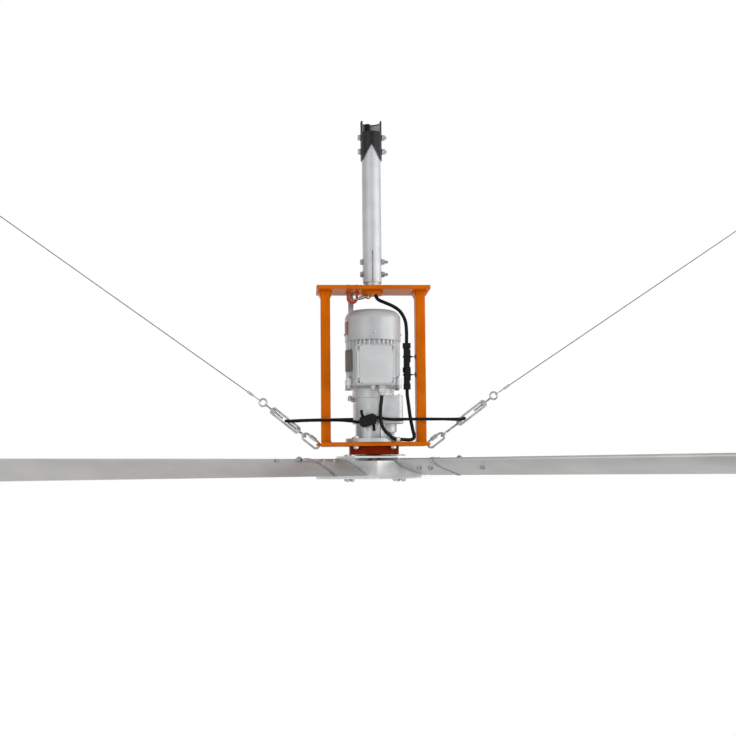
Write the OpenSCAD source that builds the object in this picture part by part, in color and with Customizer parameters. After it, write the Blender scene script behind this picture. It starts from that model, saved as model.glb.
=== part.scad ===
// Industrial ceiling fan: a geared motor in a hanging frame, a down tube, guy wires and four long blades.
// The origin is the middle of the cross hole that hangs the whole fan. +Z is up, -Y is the side of the
// motor's terminal box. Everything is in millimetres.

/* [Hanger and down tube] */
// Outside diameter of the down tube
tube_d = 60.3; // [58:0.1:64]
// Wall of the down tube
tube_wall = 3.6; // [3:0.1:4]
// Length of the down tube
tube_len = 486; // [400:1:1500]
// Wall of the hanger sleeve
sleeve_wall = 4; // [3:0.5:6]
// Rise of the sleeve's cheeks above the hanger hole
cheek_rise = 16; // [13:1:30]
// Drop of the sleeve's front lip, and of the tube's end, below the hanger hole
lip_drop = 21; // [17:1:40]
// Height of the pointed legs at the sleeve's sides
leg_len = 50; // [30:1:60]
// Depth of the front cut that opens the sleeve, measured from its axis
front_cut = 14; // [12:1:18]
// Diameter of the hanger hole
hanger_hole_d = 13; // [11:0.5:13]
// Diameter of the cross bolts in the sleeve and tube
tube_bolt_d = 10; // [8:1:10]
// Length of the slot that lets the tube clamp on its spigot
clamp_slot_len = 100; // [90:1:120]
// Width of that slot
clamp_slot_w = 3; // [2:0.5:6]
// Height of the spigot that shows between tube and frame
spigot_show = 17; // [12:1:40]
// Bore of the spigot
spigot_bore_d = 44; // [43:0.5:45]

/* [Motor frame] */
// Width of the frame over its posts
frame_w = 330; // [320:1:360]
// Clear height between the frame's plates
frame_inner_h = 477; // [470:1:520]
// Depth of both frame plates
frame_depth = 150; // [140:1:180]
// Thickness of both frame plates
frame_plate_t = 12; // [8:1:16]
// Overhang of the top plate past each post
top_overhang = 13; // [8:1:20]
// Width of a post seen from the front
post_w = 30; // [25:1:34]
// Depth of a post
post_d = 60; // [40:1:70]
// Wall of a post
post_wall = 3; // [2:0.5:5]
// Diameter of the round nut under the top plate
nut_d = 68; // [60:1:80]
// Thickness of that nut
nut_t = 10; // [8:1:12]
// Length, depth and height of the shaft guard under the frame
guard_size = [152, 90, 26]; // [20:1:160]
// Diameter of the shaft guard's bore
guard_bore_d = 56; // [54:1:64]
// Diameter of the lug holes for the guys
lug_hole_d = 10; // [9.6:0.1:11]
// Thickness of the lugs
lug_t = 8; // [6:0.5:8]

/* [Motor] */
// Outside diameter over the motor's fins
motor_d = 172; // [168:1:174]
// Height of a cooling fin
fin_h = 10; // [6:1:12]
// Number of cooling fins
fin_count = 36; // [24:1:48]
// Length of the finned housing
motor_len = 150; // [148:1:160]
// Outside diameter of the fan cover
cover_d = 177; // [176:1:182]
// Height of the fan cover
cover_h = 98; // [92:1:110]
// Radius of the cover's shoulder
cover_shoulder = 30; // [20:1:34]
// Sheet thickness of the fan cover
cover_wall = 2; // [1.5:0.5:3]
// Outside diameter of the stator core
stator_d = 130; // [126:1:134]
// Bore of the stator core
stator_bore_d = 84; // [80:1:88]
// Length of the stator core
stator_len = 88; // [80:1:92]
// Air gap between rotor and stator, on the radius
air_gap = 0.6; // [0.4:0.1:1]
// Width, depth and height of the terminal box
box_size = [121, 54, 124]; // [50:1:130]
// Wall of the terminal box
box_wall = 3; // [2:0.5:4]
// Thickness of the terminal box's lid
lid_t = 12; // [10:1:14]
// Margin of the lid's raised panel on each side
lid_inset = 3; // [2:0.5:5]

/* [Gearbox] */
// Gear module
gear_module = 2;
// Teeth on both pinions
pinion_teeth = 12;
// Teeth on both large gears
gear_teeth = 38;
// Direction of the layshaft from the main axis, in degrees
layshaft_angle = -31; // [-40:1:-25]
// Play between teeth at the pitch circle, taken from each tooth
tooth_play = 0.35; // [0.3:0.05:0.5]
// Height of the adapter between motor and gearbox
adapter_h = 38; // [34:1:42]
// Radius of the adapter's waist
adapter_r = 66; // [62:1:68]
// Radius of the cove between the waist and the motor
cove_r = 13; // [10:1:14]
// Thickness of the adapter's lower lip
adapter_lip = 5; // [4:0.5:8]
// Height of the upper gear case
case_h = 78; // [76:1:90]
// Radius of the upper gear case round the main axis
case_r = 64; // [62:1:68]
// Wall of the gear case
case_wall = 5; // [4:0.5:6]
// Radius of the lower case where it leaves the upper one
neck_r = 57; // [50:1:60]
// Diameter of the output flange
flange_d = 176; // [170:1:180]
// Thickness of the output flange
flange_t = 12; // [10:1:14]
// Bolt circle of the output flange
flange_pcd = 165; // [158:1:165]
// Diameter of the output shaft
output_d = 30;

/* [Hub and blades] */
// Running gap between the shaft guard and the hub's flange
hub_gap = 1.5; // [1:0.1:4]
// Diameter of the black hub flange
hub_flange_d = 118; // [112:1:130]
// Thickness of the hub flange
hub_flange_t = 4; // [3:0.5:8]
// Half diagonal of the square hub plates
hub_corner = 184; // [182:1:200]
// Reach of the top plate's cut corners from the axis
hub_top_reach = 118; // [114:1:165]
// Thickness of the hub plates
hub_plate_t = 6; // [4:0.5:8]
// Clear height between the hub plates
hub_space = 58; // [56:1:70]
// Radius from the axis to a blade's tip
fan_r = 1500; // [1000:10:2500]
// Chord of a blade
blade_chord = 140; // [136:1:160]
// Largest thickness of a blade
blade_t = 23; // [22.5:0.5:28]
// Pitch of the blades, in degrees
blade_pitch = 20; // [10:0.5:20]
// Wall of the blade extrusion
blade_wall = 2.2; // [1.8:0.1:2.6]
// Width of the arm inside a blade
arm_w = 50; // [44:1:52]
// Thickness of that arm
arm_t = 14; // [12:0.5:14]
// Reach of the arms from the axis
arm_reach = 480; // [460:5:600]
// Diameter of the blade bolts
blade_bolt_d = 8; // [6:1:8]
// Radii of the blade bolts on each arm
blade_bolt_at = [188, 232, 425];
// Radius at which the steel band goes round a blade
band_at = 262; // [250:1:290]
// Radius at which the wire bracket stands on a blade
bracket_at = 335; // [320:1:380]

/* [Guys] */
// Diameter of the guy wires
guy_d = 3.2; // [2.5:0.1:3.6]
// Rise of the left and right turnbuckles above the horizontal, in degrees
tackle_angle = [39, 37];
// Rise of the left and right wires, in degrees
wire_angle = [35.7, 33.5];
// Distance from link to left and right turnbuckle bodies
body_start = [66, 106];
// Distance from link to the left and right eyes
eye_at = [212, 252];
// Length of a turnbuckle's body
turnbuckle_len = 112; // [106:1:114]
// Reach of the left and right wires past their eyes
wire_reach = [1036, 992];
// Diameter of a quick link's wire
link_d = 7; // [6:0.5:7]
// Length of a quick link between the centres of its ends
link_pitch = 39; // [36:1:42]

/* [Hidden] */
$fn = 48;
clear = 0.3;          // gap between pieces that only lie against each other
seat = 0.02;          // gap where two faces bear on each other
run_gap = 0.03;       // running clearance of a shaft in its bearing, on the radius
bolt_gap = 0.25;      // clearance of a bolt in its hole, on the radius
cut = 1;              // how far a cutter passes the face it opens

tube_r = tube_d / 2;
tube_in = tube_r - tube_wall;
sleeve_in = tube_r + 0.2;
sleeve_r = sleeve_in + sleeve_wall;
tube_top = -lip_drop;
tube_bottom = tube_top - tube_len;
sleeve_notch = 42;
leg_tip = tube_top - sleeve_notch - leg_len + 3;
sleeve_bolts_z = [tube_top - 14, tube_top - 60];
spigot_r = tube_in - 0.2;
spigot_in = spigot_bore_d / 2;
spigot_top = tube_bottom + clamp_slot_len - 5;
spigot_bolts_z = [tube_bottom + 68, tube_bottom + 28];

top_z = tube_bottom - spigot_show;
top_under = top_z - frame_plate_t;
bottom_z = top_under - frame_inner_h;
bottom_under = bottom_z - frame_plate_t;
post_x = frame_w / 2 - post_w / 2;
nut_under = top_under - nut_t;
guard_under = bottom_under - guard_size[2];
lug_x = frame_w / 2 + 6;
lug_tip = lug_x + 9;
lug_z = bottom_z - frame_plate_t / 2;

flange_top = bottom_z + flange_t;
neck_h = 49;
case_bottom = flange_top + neck_h;
case_top = case_bottom + case_h;
motor_bottom = case_top + adapter_h;
motor_top = motor_bottom + motor_len;
cover_bottom = motor_top - 9;
cover_top = cover_bottom + cover_h;
motor_r = motor_d / 2;
core_r = motor_r - fin_h;
stator_r = stator_d / 2;
cover_r = cover_d / 2;
stator_low = motor_bottom + 28;
winding_h = 22;
ear_at = [78, 48];
box_back = core_r + 8;
box_front = box_back + box_size[1];
box_mid = motor_bottom + 57;
box_low = box_mid - box_size[2] / 2;

centre_distance = gear_module * (pinion_teeth + gear_teeth) / 2;
lay = centre_distance * [cos(layshaft_angle), sin(layshaft_angle)];
gear_add = 0.7 * gear_module;      // short teeth on the gears keep the small pinions free of undercut
pinion_add = 1.1 * gear_module;
tip_clear = 0.25 * gear_module;
stage1_low = case_top - 27;
stage1_h = 17;
stage2_low = case_bottom + 12;
stage2_h = 22;
case_floor = 8;
cavity_r = gear_teeth * gear_module / 2 + gear_add + 1.4;
case_side = cavity_r + case_wall;     // from the layshaft's axis to the case's flat sides
case_screws = [polar(adapter_r + 7.5, 180), polar(adapter_r + 7.5, 104),
    lay + polar(cavity_r + 8.5, 45), lay + polar(cavity_r + 8.5, -45)];

shaft_r = output_d / 2 - run_gap;
lay_r = 7.5 - run_gap;
motor_shaft_r = 12.5 - run_gap;
output_top = stage2_low + stage2_h + 6;

hub_flange_top = guard_under - hub_gap;
hub_top = hub_flange_top - hub_flange_t;
hub_inner_top = hub_top - hub_plate_t;
hub_inner_low = hub_inner_top - hub_space;
hub_low = hub_inner_low - hub_plate_t;
arm_z = hub_inner_low + hub_space / 2 + 9.5;
arm_root = 58;
blade_root = hub_corner / sqrt(2) + 2;
cap_t = 4;
arm_share = 0.33;     // where the arm lies along the chord, from the nose
hub_bolt_at = [100, 121];     // outside the corners of the shaft guard
hub_bolt_d = 8;
retainer_h = 14;

// Free route of the supply lead: down inside the tube, out of the nut and over to the connector
lead_d = 11;
lead_in = [-10, 15.5];
lead_out = [11, 0];
supply_route = [
    [lead_in[0], lead_in[1], -15], [-10, 15.5, -60], [-10, 15.5, -150], [-10, 15.5, -240], [-10, 15.5, -330],
    [-10, 14, -390], [-9, 12.5, -430], [-9, 12.5, -478], [-6, 10.5, -500], [6, 2.5, -524],
    [lead_out[0], lead_out[1], -538], [11.5, -1, -550], [20, -2, -561], [40, -3, -570], [66, -4, -582],
    [88, -5, -599], [103, -5, -627], [107, -5, -658], [107, -5, -688], [107, -5, -700]];

// Route of the motor lead: from the connector down to the plate, along it, and up into the gland
motor_route = [
    [107, -5, -847.3], [107, -5, -855], [107.5, -7, -868], [110, -14, -893], [114, -28, -936], [120, -44, -976], [123, -55, -994],
    [119, -61, -1004], [108, -64, -1007], [94, -67, -1006.5], [78, -71.5, -1005.7], [62, -77, -1004.5], [45, -85, -993],
    [26, -95, -974], [18, -102, -955], [15, -107, -930], [16, -112, -904], [18, -115, -886], [19, -115, -874],
    [19, -115, -860]];

// Route of the black tie rope: a loop through both turnbuckles that ends in the rope lock
rope_d = 7.5;
rope_route = [
    [-42, -88, -915], [-40, -88, -929], [-33, -88, -941], [-14, -88, -942], [8, -86, -938], [32, -81, -942],
    [60, -82, -944], [110, -68, -943], [170, -44, -942], [225, -26, -942], [256, -18, -943], [279, -12, -942],
    [287, -6, -939.8], [289, 0, -938.2], [287, 6, -938.5], [279, 12, -939.5], [256, 18, -940], [225, 26, -939.5],
    [170, 43, -939], [110, 63, -937.5], [58, 79, -936], [0, 80, -935.5], [-58, 79, -936], [-110, 63, -937.5],
    [-170, 43, -939], [-215, 27, -940.5], [-246, 16, -942], [-265, 11, -943.5], [-273, 6, -944],
    [-275, 0, -943.5], [-273, -6, -944.5], [-265, -11, -945], [-246, -16, -945], [-215, -27, -944],
    [-170, -43, -944], [-110, -63, -945], [-70, -77, -949], [-48, -80, -952], [-24, -80, -947],
    [-9, -80, -950], [-4, -80, -962], [-3, -80, -979]];
lock_at = [-22, -84, -947];
lock_tilt = 18;
connector_at = [frame_w / 2 - post_w - 28, -5];

// A rectangle with rounded corners, centred
module round_rect(size, r) {
    square([size[0], size[1] - 2 * r], center = true);
    square([size[0] - 2 * r, size[1]], center = true);
    for (x = [-1, 1], y = [-1, 1])
        translate([x * (size[0] / 2 - r), y * (size[1] / 2 - r)]) circle(r);
}

module slab(size, r, h) linear_extrude(h) round_rect(size, r);

module ring(r_out, r_in, h) {
    difference() {
        cylinder(r = r_out, h = h);
        translate([0, 0, -cut]) cylinder(r = r_in, h = h + 2 * cut);
    }
}

// A hexagon head or nut, size across its flats
module hex(flats, h) cylinder(d = flats / cos(30), h = h, $fn = 6);

// A bolt along Z with its head's seat at z = 0 and its nut's seat at -grip
module bolt(d, grip, nut = true, tail = 3) {
    hex(1.6 * d, 0.65 * d);
    translate([0, 0, -grip - (nut ? 0.8 * d + tail : 0)]) cylinder(d = d, h = grip + (nut ? 0.8 * d + tail : 0));
    if (nut) translate([0, 0, -grip - 0.8 * d]) hex(1.6 * d, 0.8 * d);
}

module cross_x(z) translate([0, 0, z]) rotate([0, 90, 0]) children();

// Points round a swept tube, one ring for each point of the route
function polar(r, a) = r * [cos(a), sin(a)];
function unit(v) = v / norm(v);
function spline(a, b, c, d, t) =
    0.5 * (2 * b + (c - a) * t + (2 * a - 5 * b + 4 * c - d) * t * t + (3 * b - a - 3 * c + d) * t * t * t);
function smooth_route(p, k) = let (n = len(p) - 1) concat(
    [for (i = [0:n - 1], j = [0:k - 1])
        spline(p[max(i - 1, 0)], p[i], p[i + 1], p[min(i + 2, n)], j / k)], [p[n]]);
function heading(p, i) = unit(p[min(i + 1, len(p) - 1)] - p[max(i - 1, 0)]);
function carried(side, dir) = unit(side - (side * dir) * dir);
function sides(p, i, side) = i == len(p) ? [] :
    let (s = carried(side, heading(p, i))) concat([s], sides(p, i + 1, s));

module swept(p, d, n, start_side) {
    s = sides(p, 0, start_side);
    m = len(p);
    points = [for (i = [0:m - 1], j = [0:n - 1])
        p[i] + d / 2 * (cos(360 * j / n) * s[i] + sin(360 * j / n) * cross(heading(p, i), s[i]))];
    walls = [for (i = [0:m - 2], j = [0:n - 1], half = [0, 1])
        let (a = i * n + j, b = i * n + (j + 1) % n) half == 0 ? [a, b, b + n] : [a, b + n, a + n]];
    polyhedron(points, concat(
        [for (f = walls) [f[2], f[1], f[0]]],
        [for (j = [1:n - 2]) [0, j, j + 1]],
        [for (j = [1:n - 2]) [(m - 1) * n, (m - 1) * n + j + 1, (m - 1) * n + j]]), convexity = 8);
}

// One tooth flank: half of the tooth's angle at radius r
function inv(a) = tan(a) * 180 / PI - a;
function half_angle(r, rp, rb, t) = t / (2 * rp) * 180 / PI + inv(acos(rb / rp)) - inv(acos(rb / max(r, rb)));

// A spur gear with a tooth that points along +X, or a gap if shift is 0.5
module gear(teeth, h, add, ded, bore, shift = 0) {
    rp = teeth * gear_module / 2;
    rb = rp * cos(20);
    t = PI * gear_module / 2 - tooth_play;
    radii = [rp - ded, max(rb, rp - ded), rp - 0.1, rp + add * 0.5, rp + add];
    linear_extrude(h) difference() {
        polygon([for (i = [0:teeth - 1], k = [0:9])
            let (j = k < 5 ? k : 9 - k, r = radii[j], side = k < 5 ? -1 : 1,
                a = 360 * (i + shift) / teeth + side * half_angle(r, rp, rb, t) * (j == 0 ? 1.04 : 1))
            r * [cos(a), sin(a)]]);
        circle(bore);
    }
}

// Airfoil in the blade's own frame: the arm's middle is the origin, the nose lies towards -Y
function half_thick(s) = 5 * blade_t * (0.2969 * sqrt(s) - 0.126 * s - 0.3516 * s * s
    + 0.2843 * s * s * s - 0.1015 * s * s * s * s);
function camber(s) = 0.08 * blade_chord * s * (1 - s) - 0.08 * blade_chord * arm_share * (1 - arm_share);
function chord_y(s) = (s - arm_share) * blade_chord;
blade_steps = 14;
function station(i) = (1 - cos(180 * i / blade_steps)) / 2;
function foil(grow) = concat(
    [for (i = [0:blade_steps]) let (s = station(i))
        [chord_y(s) + grow * (2 * s - 1), camber(s) + half_thick(s) + grow]],
    [for (i = [blade_steps:-1:0]) let (s = station(i))
        [chord_y(s) + grow * (2 * s - 1), camber(s) - half_thick(s) - grow]]);
function foil_cell(s0, s1, n) = concat(
    [for (i = [0:n]) let (s = s0 + (s1 - s0) * i / n) [chord_y(s), camber(s) + half_thick(s) - blade_wall]],
    [for (i = [n:-1:0]) let (s = s0 + (s1 - s0) * i / n) [chord_y(s), camber(s) - half_thick(s) + blade_wall]]);

// Turns a profile drawn in Y and Z so that it runs along +X from x0 for len
module along_x(x0, len) translate([x0, 0, 0]) rotate([90, 0, 90]) linear_extrude(len) children();

// Places a child on arm k: +X out along the arm, turned to the blades' pitch
module on_arm(k) rotate([0, 0, 45 + 90 * k]) translate([0, 0, arm_z]) rotate([-blade_pitch, 0, 0]) children();

// Places a child on the left (0) or right (1) tackle: +X up along it, +Z square to it in the guys' plane
link_end_r = 11;
module on_tackle(side) {
    mirror([side == 0 ? 1 : 0, 0, 0]) translate([lug_x + link_end_r, 0, lug_z])
        rotate([0, -tackle_angle[side], 0]) children();
}
eye_r = 11.5;
eye_wire = 6;
function eye_point(side) = [lug_x + link_end_r + eye_at[side] * cos(tackle_angle[side]), 0,
    lug_z + eye_at[side] * sin(tackle_angle[side])];
module on_wire(side) {
    mirror([side == 0 ? 1 : 0, 0, 0]) translate(eye_point(side)) rotate([0, -wire_angle[side], 0]) children();
}

module torus(r, wire) rotate_extrude($fn = 36) translate([r, 0]) circle(d = wire, $fn = 20);

module hanger_sleeve() color([0.09, 0.10, 0.10]) {
    top = cheek_rise;
    notch_top = tube_top - sleeve_notch;
    difference() {
        translate([0, 0, leg_tip]) ring(sleeve_r, sleeve_in, top - leg_tip);
        // open front above the lip
        translate([-sleeve_r - cut, -sleeve_r - cut, tube_top])
            cube([2 * (sleeve_r + cut), sleeve_r + cut - front_cut, top - tube_top + cut]);
        // pointed legs: one V cut through front and back
        translate([0, sleeve_r + cut, 0]) rotate([90, 0, 0]) linear_extrude(2 * (sleeve_r + cut))
            polygon([[0, notch_top], [sleeve_r - 4, leg_tip - cut], [4 - sleeve_r, leg_tip - cut]]);
        for (z = sleeve_bolts_z) cross_x(z) cylinder(d = tube_bolt_d + 2 * bolt_gap, h = 4 * sleeve_r, center = true);
        cross_x(0) cylinder(d = hanger_hole_d, h = 4 * sleeve_r, center = true);
    }
}

module down_tube() color([0.80, 0.80, 0.81]) {
    difference() {
        translate([0, 0, tube_bottom]) ring(tube_r, tube_in, tube_len);
        translate([-clamp_slot_w / 2, -tube_r - cut, tube_bottom - cut])
            cube([clamp_slot_w, 2 * (tube_r + cut), clamp_slot_len + cut]);
        for (z = concat(sleeve_bolts_z, spigot_bolts_z))
            cross_x(z) cylinder(d = tube_bolt_d + 2 * bolt_gap, h = 4 * tube_r, center = true);
    }
}

module tube_bolts() color([0.72, 0.72, 0.72]) {
    for (z = sleeve_bolts_z) cross_bolt(sleeve_r, z, 5);
    for (z = spigot_bolts_z) cross_bolt(tube_r, z, 10);
}

// A bolt along X through a tube of radius r, with a washer under its head and under its nut
washer_t = 2;
module cross_bolt(r, z, tail) {
    translate([-r - washer_t, 0, z]) rotate([0, -90, 0]) bolt(tube_bolt_d, 2 * (r + washer_t), tail = tail);
    for (x = [-r - washer_t, r]) cross_x(z) translate([0, 0, x]) cylinder(d = 2 * tube_bolt_d, h = washer_t);
}

// The spigot is welded to the top plate and reaches down into the round nut
module tube_spigot() color([0.75, 0.75, 0.75]) {
    difference() {
        union() {
            translate([0, 0, top_z]) ring(spigot_r, spigot_in, spigot_top - top_z);
            translate([0, 0, top_under - nut_t + 3]) ring(spigot_in + 4, spigot_in, top_z - top_under + nut_t - 3);
        }
        for (z = spigot_bolts_z) cross_x(z) cylinder(d = tube_bolt_d + 2 * bolt_gap, h = 4 * tube_r, center = true);
    }
}

// Round nut that holds the spigot, closed below but for the lead's hole, with the safety eye under it
safety_eye = [-14, nut_under - 2];
module spigot_nut() color([0.78, 0.38, 0.06]) {
    difference() {
        translate([0, 0, nut_under]) cylinder(d = nut_d, h = nut_t);
        translate([0, 0, nut_under + 3]) cylinder(r = spigot_in + 4, h = nut_t);
        translate([lead_out[0], lead_out[1], nut_under - cut]) cylinder(r = lead_d / 2 + 1.7, h = nut_t);
    }
    translate([safety_eye[0], 0, safety_eye[1]]) {
        rotate([90, 0, 0]) rotate([0, 0, 180]) rotate_extrude(angle = 180) translate([safety_r, 0]) circle(d = 4.5);
        for (s = [-1, 1]) translate([s * safety_r, 0, 0]) cylinder(d = 4.5, h = nut_under + 1.5 - safety_eye[1]);
    }
}

module top_plate() color([0.78, 0.38, 0.06]) {
    difference() {
        translate([0, 0, top_under]) slab([frame_w + 2 * top_overhang, frame_depth], 3, frame_plate_t);
        translate([0, 0, top_under - cut]) cylinder(r = spigot_in + 4, h = frame_plate_t + 2 * cut);
        for (s = [-1, 1]) translate([ubolt_x + s * ubolt_r, 0, top_under - cut])
            cylinder(d = ubolt_d + 2 * bolt_gap, h = frame_plate_t + 2 * cut);
        translate([strap_at[0], strap_bolt_y, top_under - cut])
            cylinder(d = 8 + 2 * bolt_gap, h = frame_plate_t + 2 * cut);
    }
}

// A rectangular tube, flared by weld gussets where it meets the top plate and filleted at its foot
module post(side) color([0.77, 0.40, 0.05]) {
    flare = 6.5;
    flare_h = 19;
    toe = 8;
    translate([side * post_x, 0, bottom_z]) {
        difference() {
            slab([post_w, post_d], 3, frame_inner_h);
            translate([0, 0, post_wall]) linear_extrude(frame_inner_h - 2 * post_wall)
                square([post_w - 2 * post_wall, post_d - 2 * post_wall], center = true);
        }
        for (way = [-1, 1]) mirror([way == 1 ? 1 : 0, 0, 0])
            translate([post_w / 2, post_d / 2 - 2, 0]) rotate([90, 0, 0]) linear_extrude(post_d - 4)
                polygon([[0, frame_inner_h], [flare, frame_inner_h], [flare, frame_inner_h - 6],
                    [0, frame_inner_h - flare_h]]);
        mirror([side == 1 ? 1 : 0, 0, 0]) translate([post_w / 2, post_d / 2 - 2, 0]) rotate([90, 0, 0])
            linear_extrude(post_d - 4) difference() {
                square(toe);
                translate([toe, toe]) circle(toe);
            }
    }
}
module left_post() post(-1);
module right_post() post(1);

// Bottom plate with a thinner lug at each end for the guys
module bottom_plate() color([0.78, 0.40, 0.06]) {
    difference() {
        union() {
            translate([0, 0, bottom_under]) slab([frame_w, frame_depth], 3, frame_plate_t);
            for (s = [-1, 1]) translate([0, 0, lug_z - lug_t / 2]) {
                translate([s * (lug_tip - 10), 0, 0]) cylinder(r = 10, h = lug_t);
                translate([s * (frame_w / 2 - 1) - (lug_tip - frame_w / 2 - 9) * (s < 0 ? 1 : 0), -10, 0])
                    cube([lug_tip - frame_w / 2 - 9, 20, lug_t]);
            }
        }
        for (s = [-1, 1]) translate([s * lug_x, 0, bottom_under - cut])
            cylinder(d = lug_hole_d, h = frame_plate_t + 2 * cut);
        translate([0, 0, bottom_under - cut]) cylinder(d = guard_bore_d - 8, h = frame_plate_t + 2 * cut);
        flange_holes() translate([0, 0, bottom_under - cut])
            cylinder(d = 10 + 2 * bolt_gap, h = frame_plate_t + 2 * cut);
        for (x = [-1, 1]) translate([x * guard_screw_x, 0, bottom_under - cut])
            cylinder(d = 8 + 2 * bolt_gap, h = frame_plate_t + 2 * cut);
    }
}
module flange_holes() for (a = [45:90:315]) rotate([0, 0, a]) translate([flange_pcd / 2, 0, 0]) children();
guard_screw_x = guard_size[0] / 2 - 14;

module shaft_guard() color([0.46, 0.15, 0.04]) {
    difference() {
        translate([0, 0, guard_under]) slab([guard_size[0], guard_size[1]], 4, guard_size[2]);
        translate([0, 0, guard_under - cut]) cylinder(d = guard_bore_d, h = guard_size[2] + 2 * cut);
        for (x = [-1, 1]) translate([x * guard_screw_x, 0, guard_under - cut]) {
            cylinder(d = 8 + 2 * bolt_gap, h = guard_size[2] + 2 * cut);
            cylinder(d = 16, h = guard_sink + cut);
        }
    }
}
guard_sink = 6.5;

// Domed sheet cover with an intake grille of round holes
module fan_cover() color([0.78, 0.78, 0.77]) {
    r = cover_shoulder;
    difference() {
        translate([0, 0, cover_bottom]) {
            cylinder(r = cover_r, h = cover_h - r);
            translate([0, 0, cover_h - r]) rotate_extrude() intersection() {
                square([cover_r, r]);
                union() {
                    square([cover_r - r, r]);
                    translate([cover_r - r, 0]) circle(r);
                }
            }
        }
        translate([0, 0, cover_bottom - cut]) cylinder(r = cover_r - cover_wall, h = cover_h - r + cut);
        translate([0, 0, cover_bottom + cover_h - r]) rotate_extrude() intersection() {
            square([cover_r - cover_wall, r - cover_wall]);
            union() {
                square([cover_r - r, r - cover_wall]);
                translate([cover_r - r, 0]) circle(r - cover_wall);
            }
        }
        for (n = [0:3], i = [0:max(0, 6 * n - 1)])
            rotate([0, 0, n == 0 ? 0 : 60 * i / n]) translate([14 * n, 0, cover_top - 8]) cylinder(d = 8, h = 12);
        for (a = [0:90:270]) rotate([0, 0, a]) translate([cover_r - 8, 0, cover_bottom + 22]) rotate([0, 90, 0])
            cylinder(d = 5 + 2 * bolt_gap, h = 12);
    }
}

// Screws of the fan cover, of the motor's feet and of the terminal box's lid
module motor_screws() color([0.62, 0.62, 0.62]) {
    for (a = [0:90:270]) rotate([0, 0, a]) translate([cover_r, 0, cover_bottom + 22]) rotate([0, 90, 0]) {
        cylinder(d = 9, h = 3);
        translate([0, 0, -6]) cylinder(d = 5, h = 6);
    }
    ear_places() translate([0, 0, motor_bottom + 22]) bolt(8, 22 + 10, nut = false);
    for (x = [-1, 1], z = [-1, 1])
        translate([x * lid_screw[0], -box_front - lid_rim, box_mid + z * lid_screw[1]]) rotate([90, 0, 0]) {
            cylinder(d = 8, h = 3.5);
            translate([0, 0, -lid_rim - 8]) cylinder(d = 4, h = lid_rim + 8);
        }
}
lid_screw = [box_size[0] / 2 - 8, box_size[2] / 2 - 8];
lid_rim = 5;      // thickness of the lid outside its raised panel

// Die-cast housing: a barrel with fins all round, a flat pad for the terminal box and bolt ears
module motor_housing() color([0.77, 0.77, 0.76]) {
    difference() {
        union() {
            translate([0, 0, motor_bottom]) linear_extrude(motor_len) {
                circle(core_r);
                for (i = [0:fin_count - 1]) rotate(360 * i / fin_count)
                    polygon([[core_r - 2, -2.4], [motor_r, -1.2], [motor_r, 1.2], [core_r - 2, 2.4]]);
            }
            translate([-box_size[0] / 2 + 6, -box_back, box_mid - box_size[2] / 2 + 6])
                cube([box_size[0] - 12, box_back - core_r / 2, box_size[2] - 12]);
            translate([0, 0, motor_bottom]) ears(23);
            translate([strap_at[0] - 13, 44, strap_bolt_z - 13]) cube([26, strap_at[1] - 44, 26]);
        }
        translate([0, 0, motor_bottom - cut]) cylinder(r = stator_r, h = motor_len + 2 * cut);
        ear_places() translate([0, 0, motor_bottom - cut]) cylinder(d = 8 + 2 * bolt_gap, h = 23 + 2 * cut);
        ear_places() translate([0, 0, motor_bottom + 22]) cylinder(r = 9.5, h = 9);
        translate([-box_size[0] / 2 - cut, -motor_r - cut, box_low - cut])
            cube([box_size[0] + 2 * cut, motor_r + cut - box_back, box_size[2] + 2 * cut]);
        translate([0, -core_r + 12, box_mid]) rotate([90, 0, 0]) cylinder(d = 40, h = 40);
        translate([strap_at[0], strap_at[1] + cut, strap_bolt_z]) rotate([90, 0, 0]) cylinder(d = 8, h = 12);
    }
}
module ear_places() for (x = [-1, 1], y = [-1, 1]) translate([x * ear_at[0], y * ear_at[1], 0]) children();
module ears(h) linear_extrude(h) for (x = [-1, 1], y = [-1, 1])
    ear([x * ear_at[0], y * ear_at[1]], 9, core_r - 6, 12);

// Outline of a bolt ear on its web, which starts at a radius from the axis
module ear(at, r, web_from, web_w) {
    translate(at) circle(r);
    rotate(atan2(at[1], at[0])) translate([web_from, -web_w / 2]) square([norm(at) - web_from, web_w]);
}

// Bearing shield at the fan end
module upper_end_shield() color([0.72, 0.72, 0.71]) {
    difference() {
        translate([0, 0, motor_top]) {
            cylinder(r = core_r, h = 7);
            cylinder(r = 34, h = 20);
            for (i = [0:7]) rotate([0, 0, 45 * i]) translate([30, -2, 7 - cut]) cube([core_r - 34, 4, 7]);
            for (a = [0:90:270]) rotate([0, 0, a]) translate([core_r - 8, -6, 0])
                cube([cover_r - cover_wall - clear - core_r + 8, 12, 19]);
        }
        for (a = [0:90:270]) rotate([0, 0, a]) translate([core_r, 0, cover_bottom + 22]) rotate([0, 90, 0])
            cylinder(d = 5, h = 12);
        translate([0, 0, motor_top - cut]) cylinder(r = 26, h = 15 + cut);
        translate([0, 0, motor_top - cut]) cylinder(r = 15, h = 30);
    }
}

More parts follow.
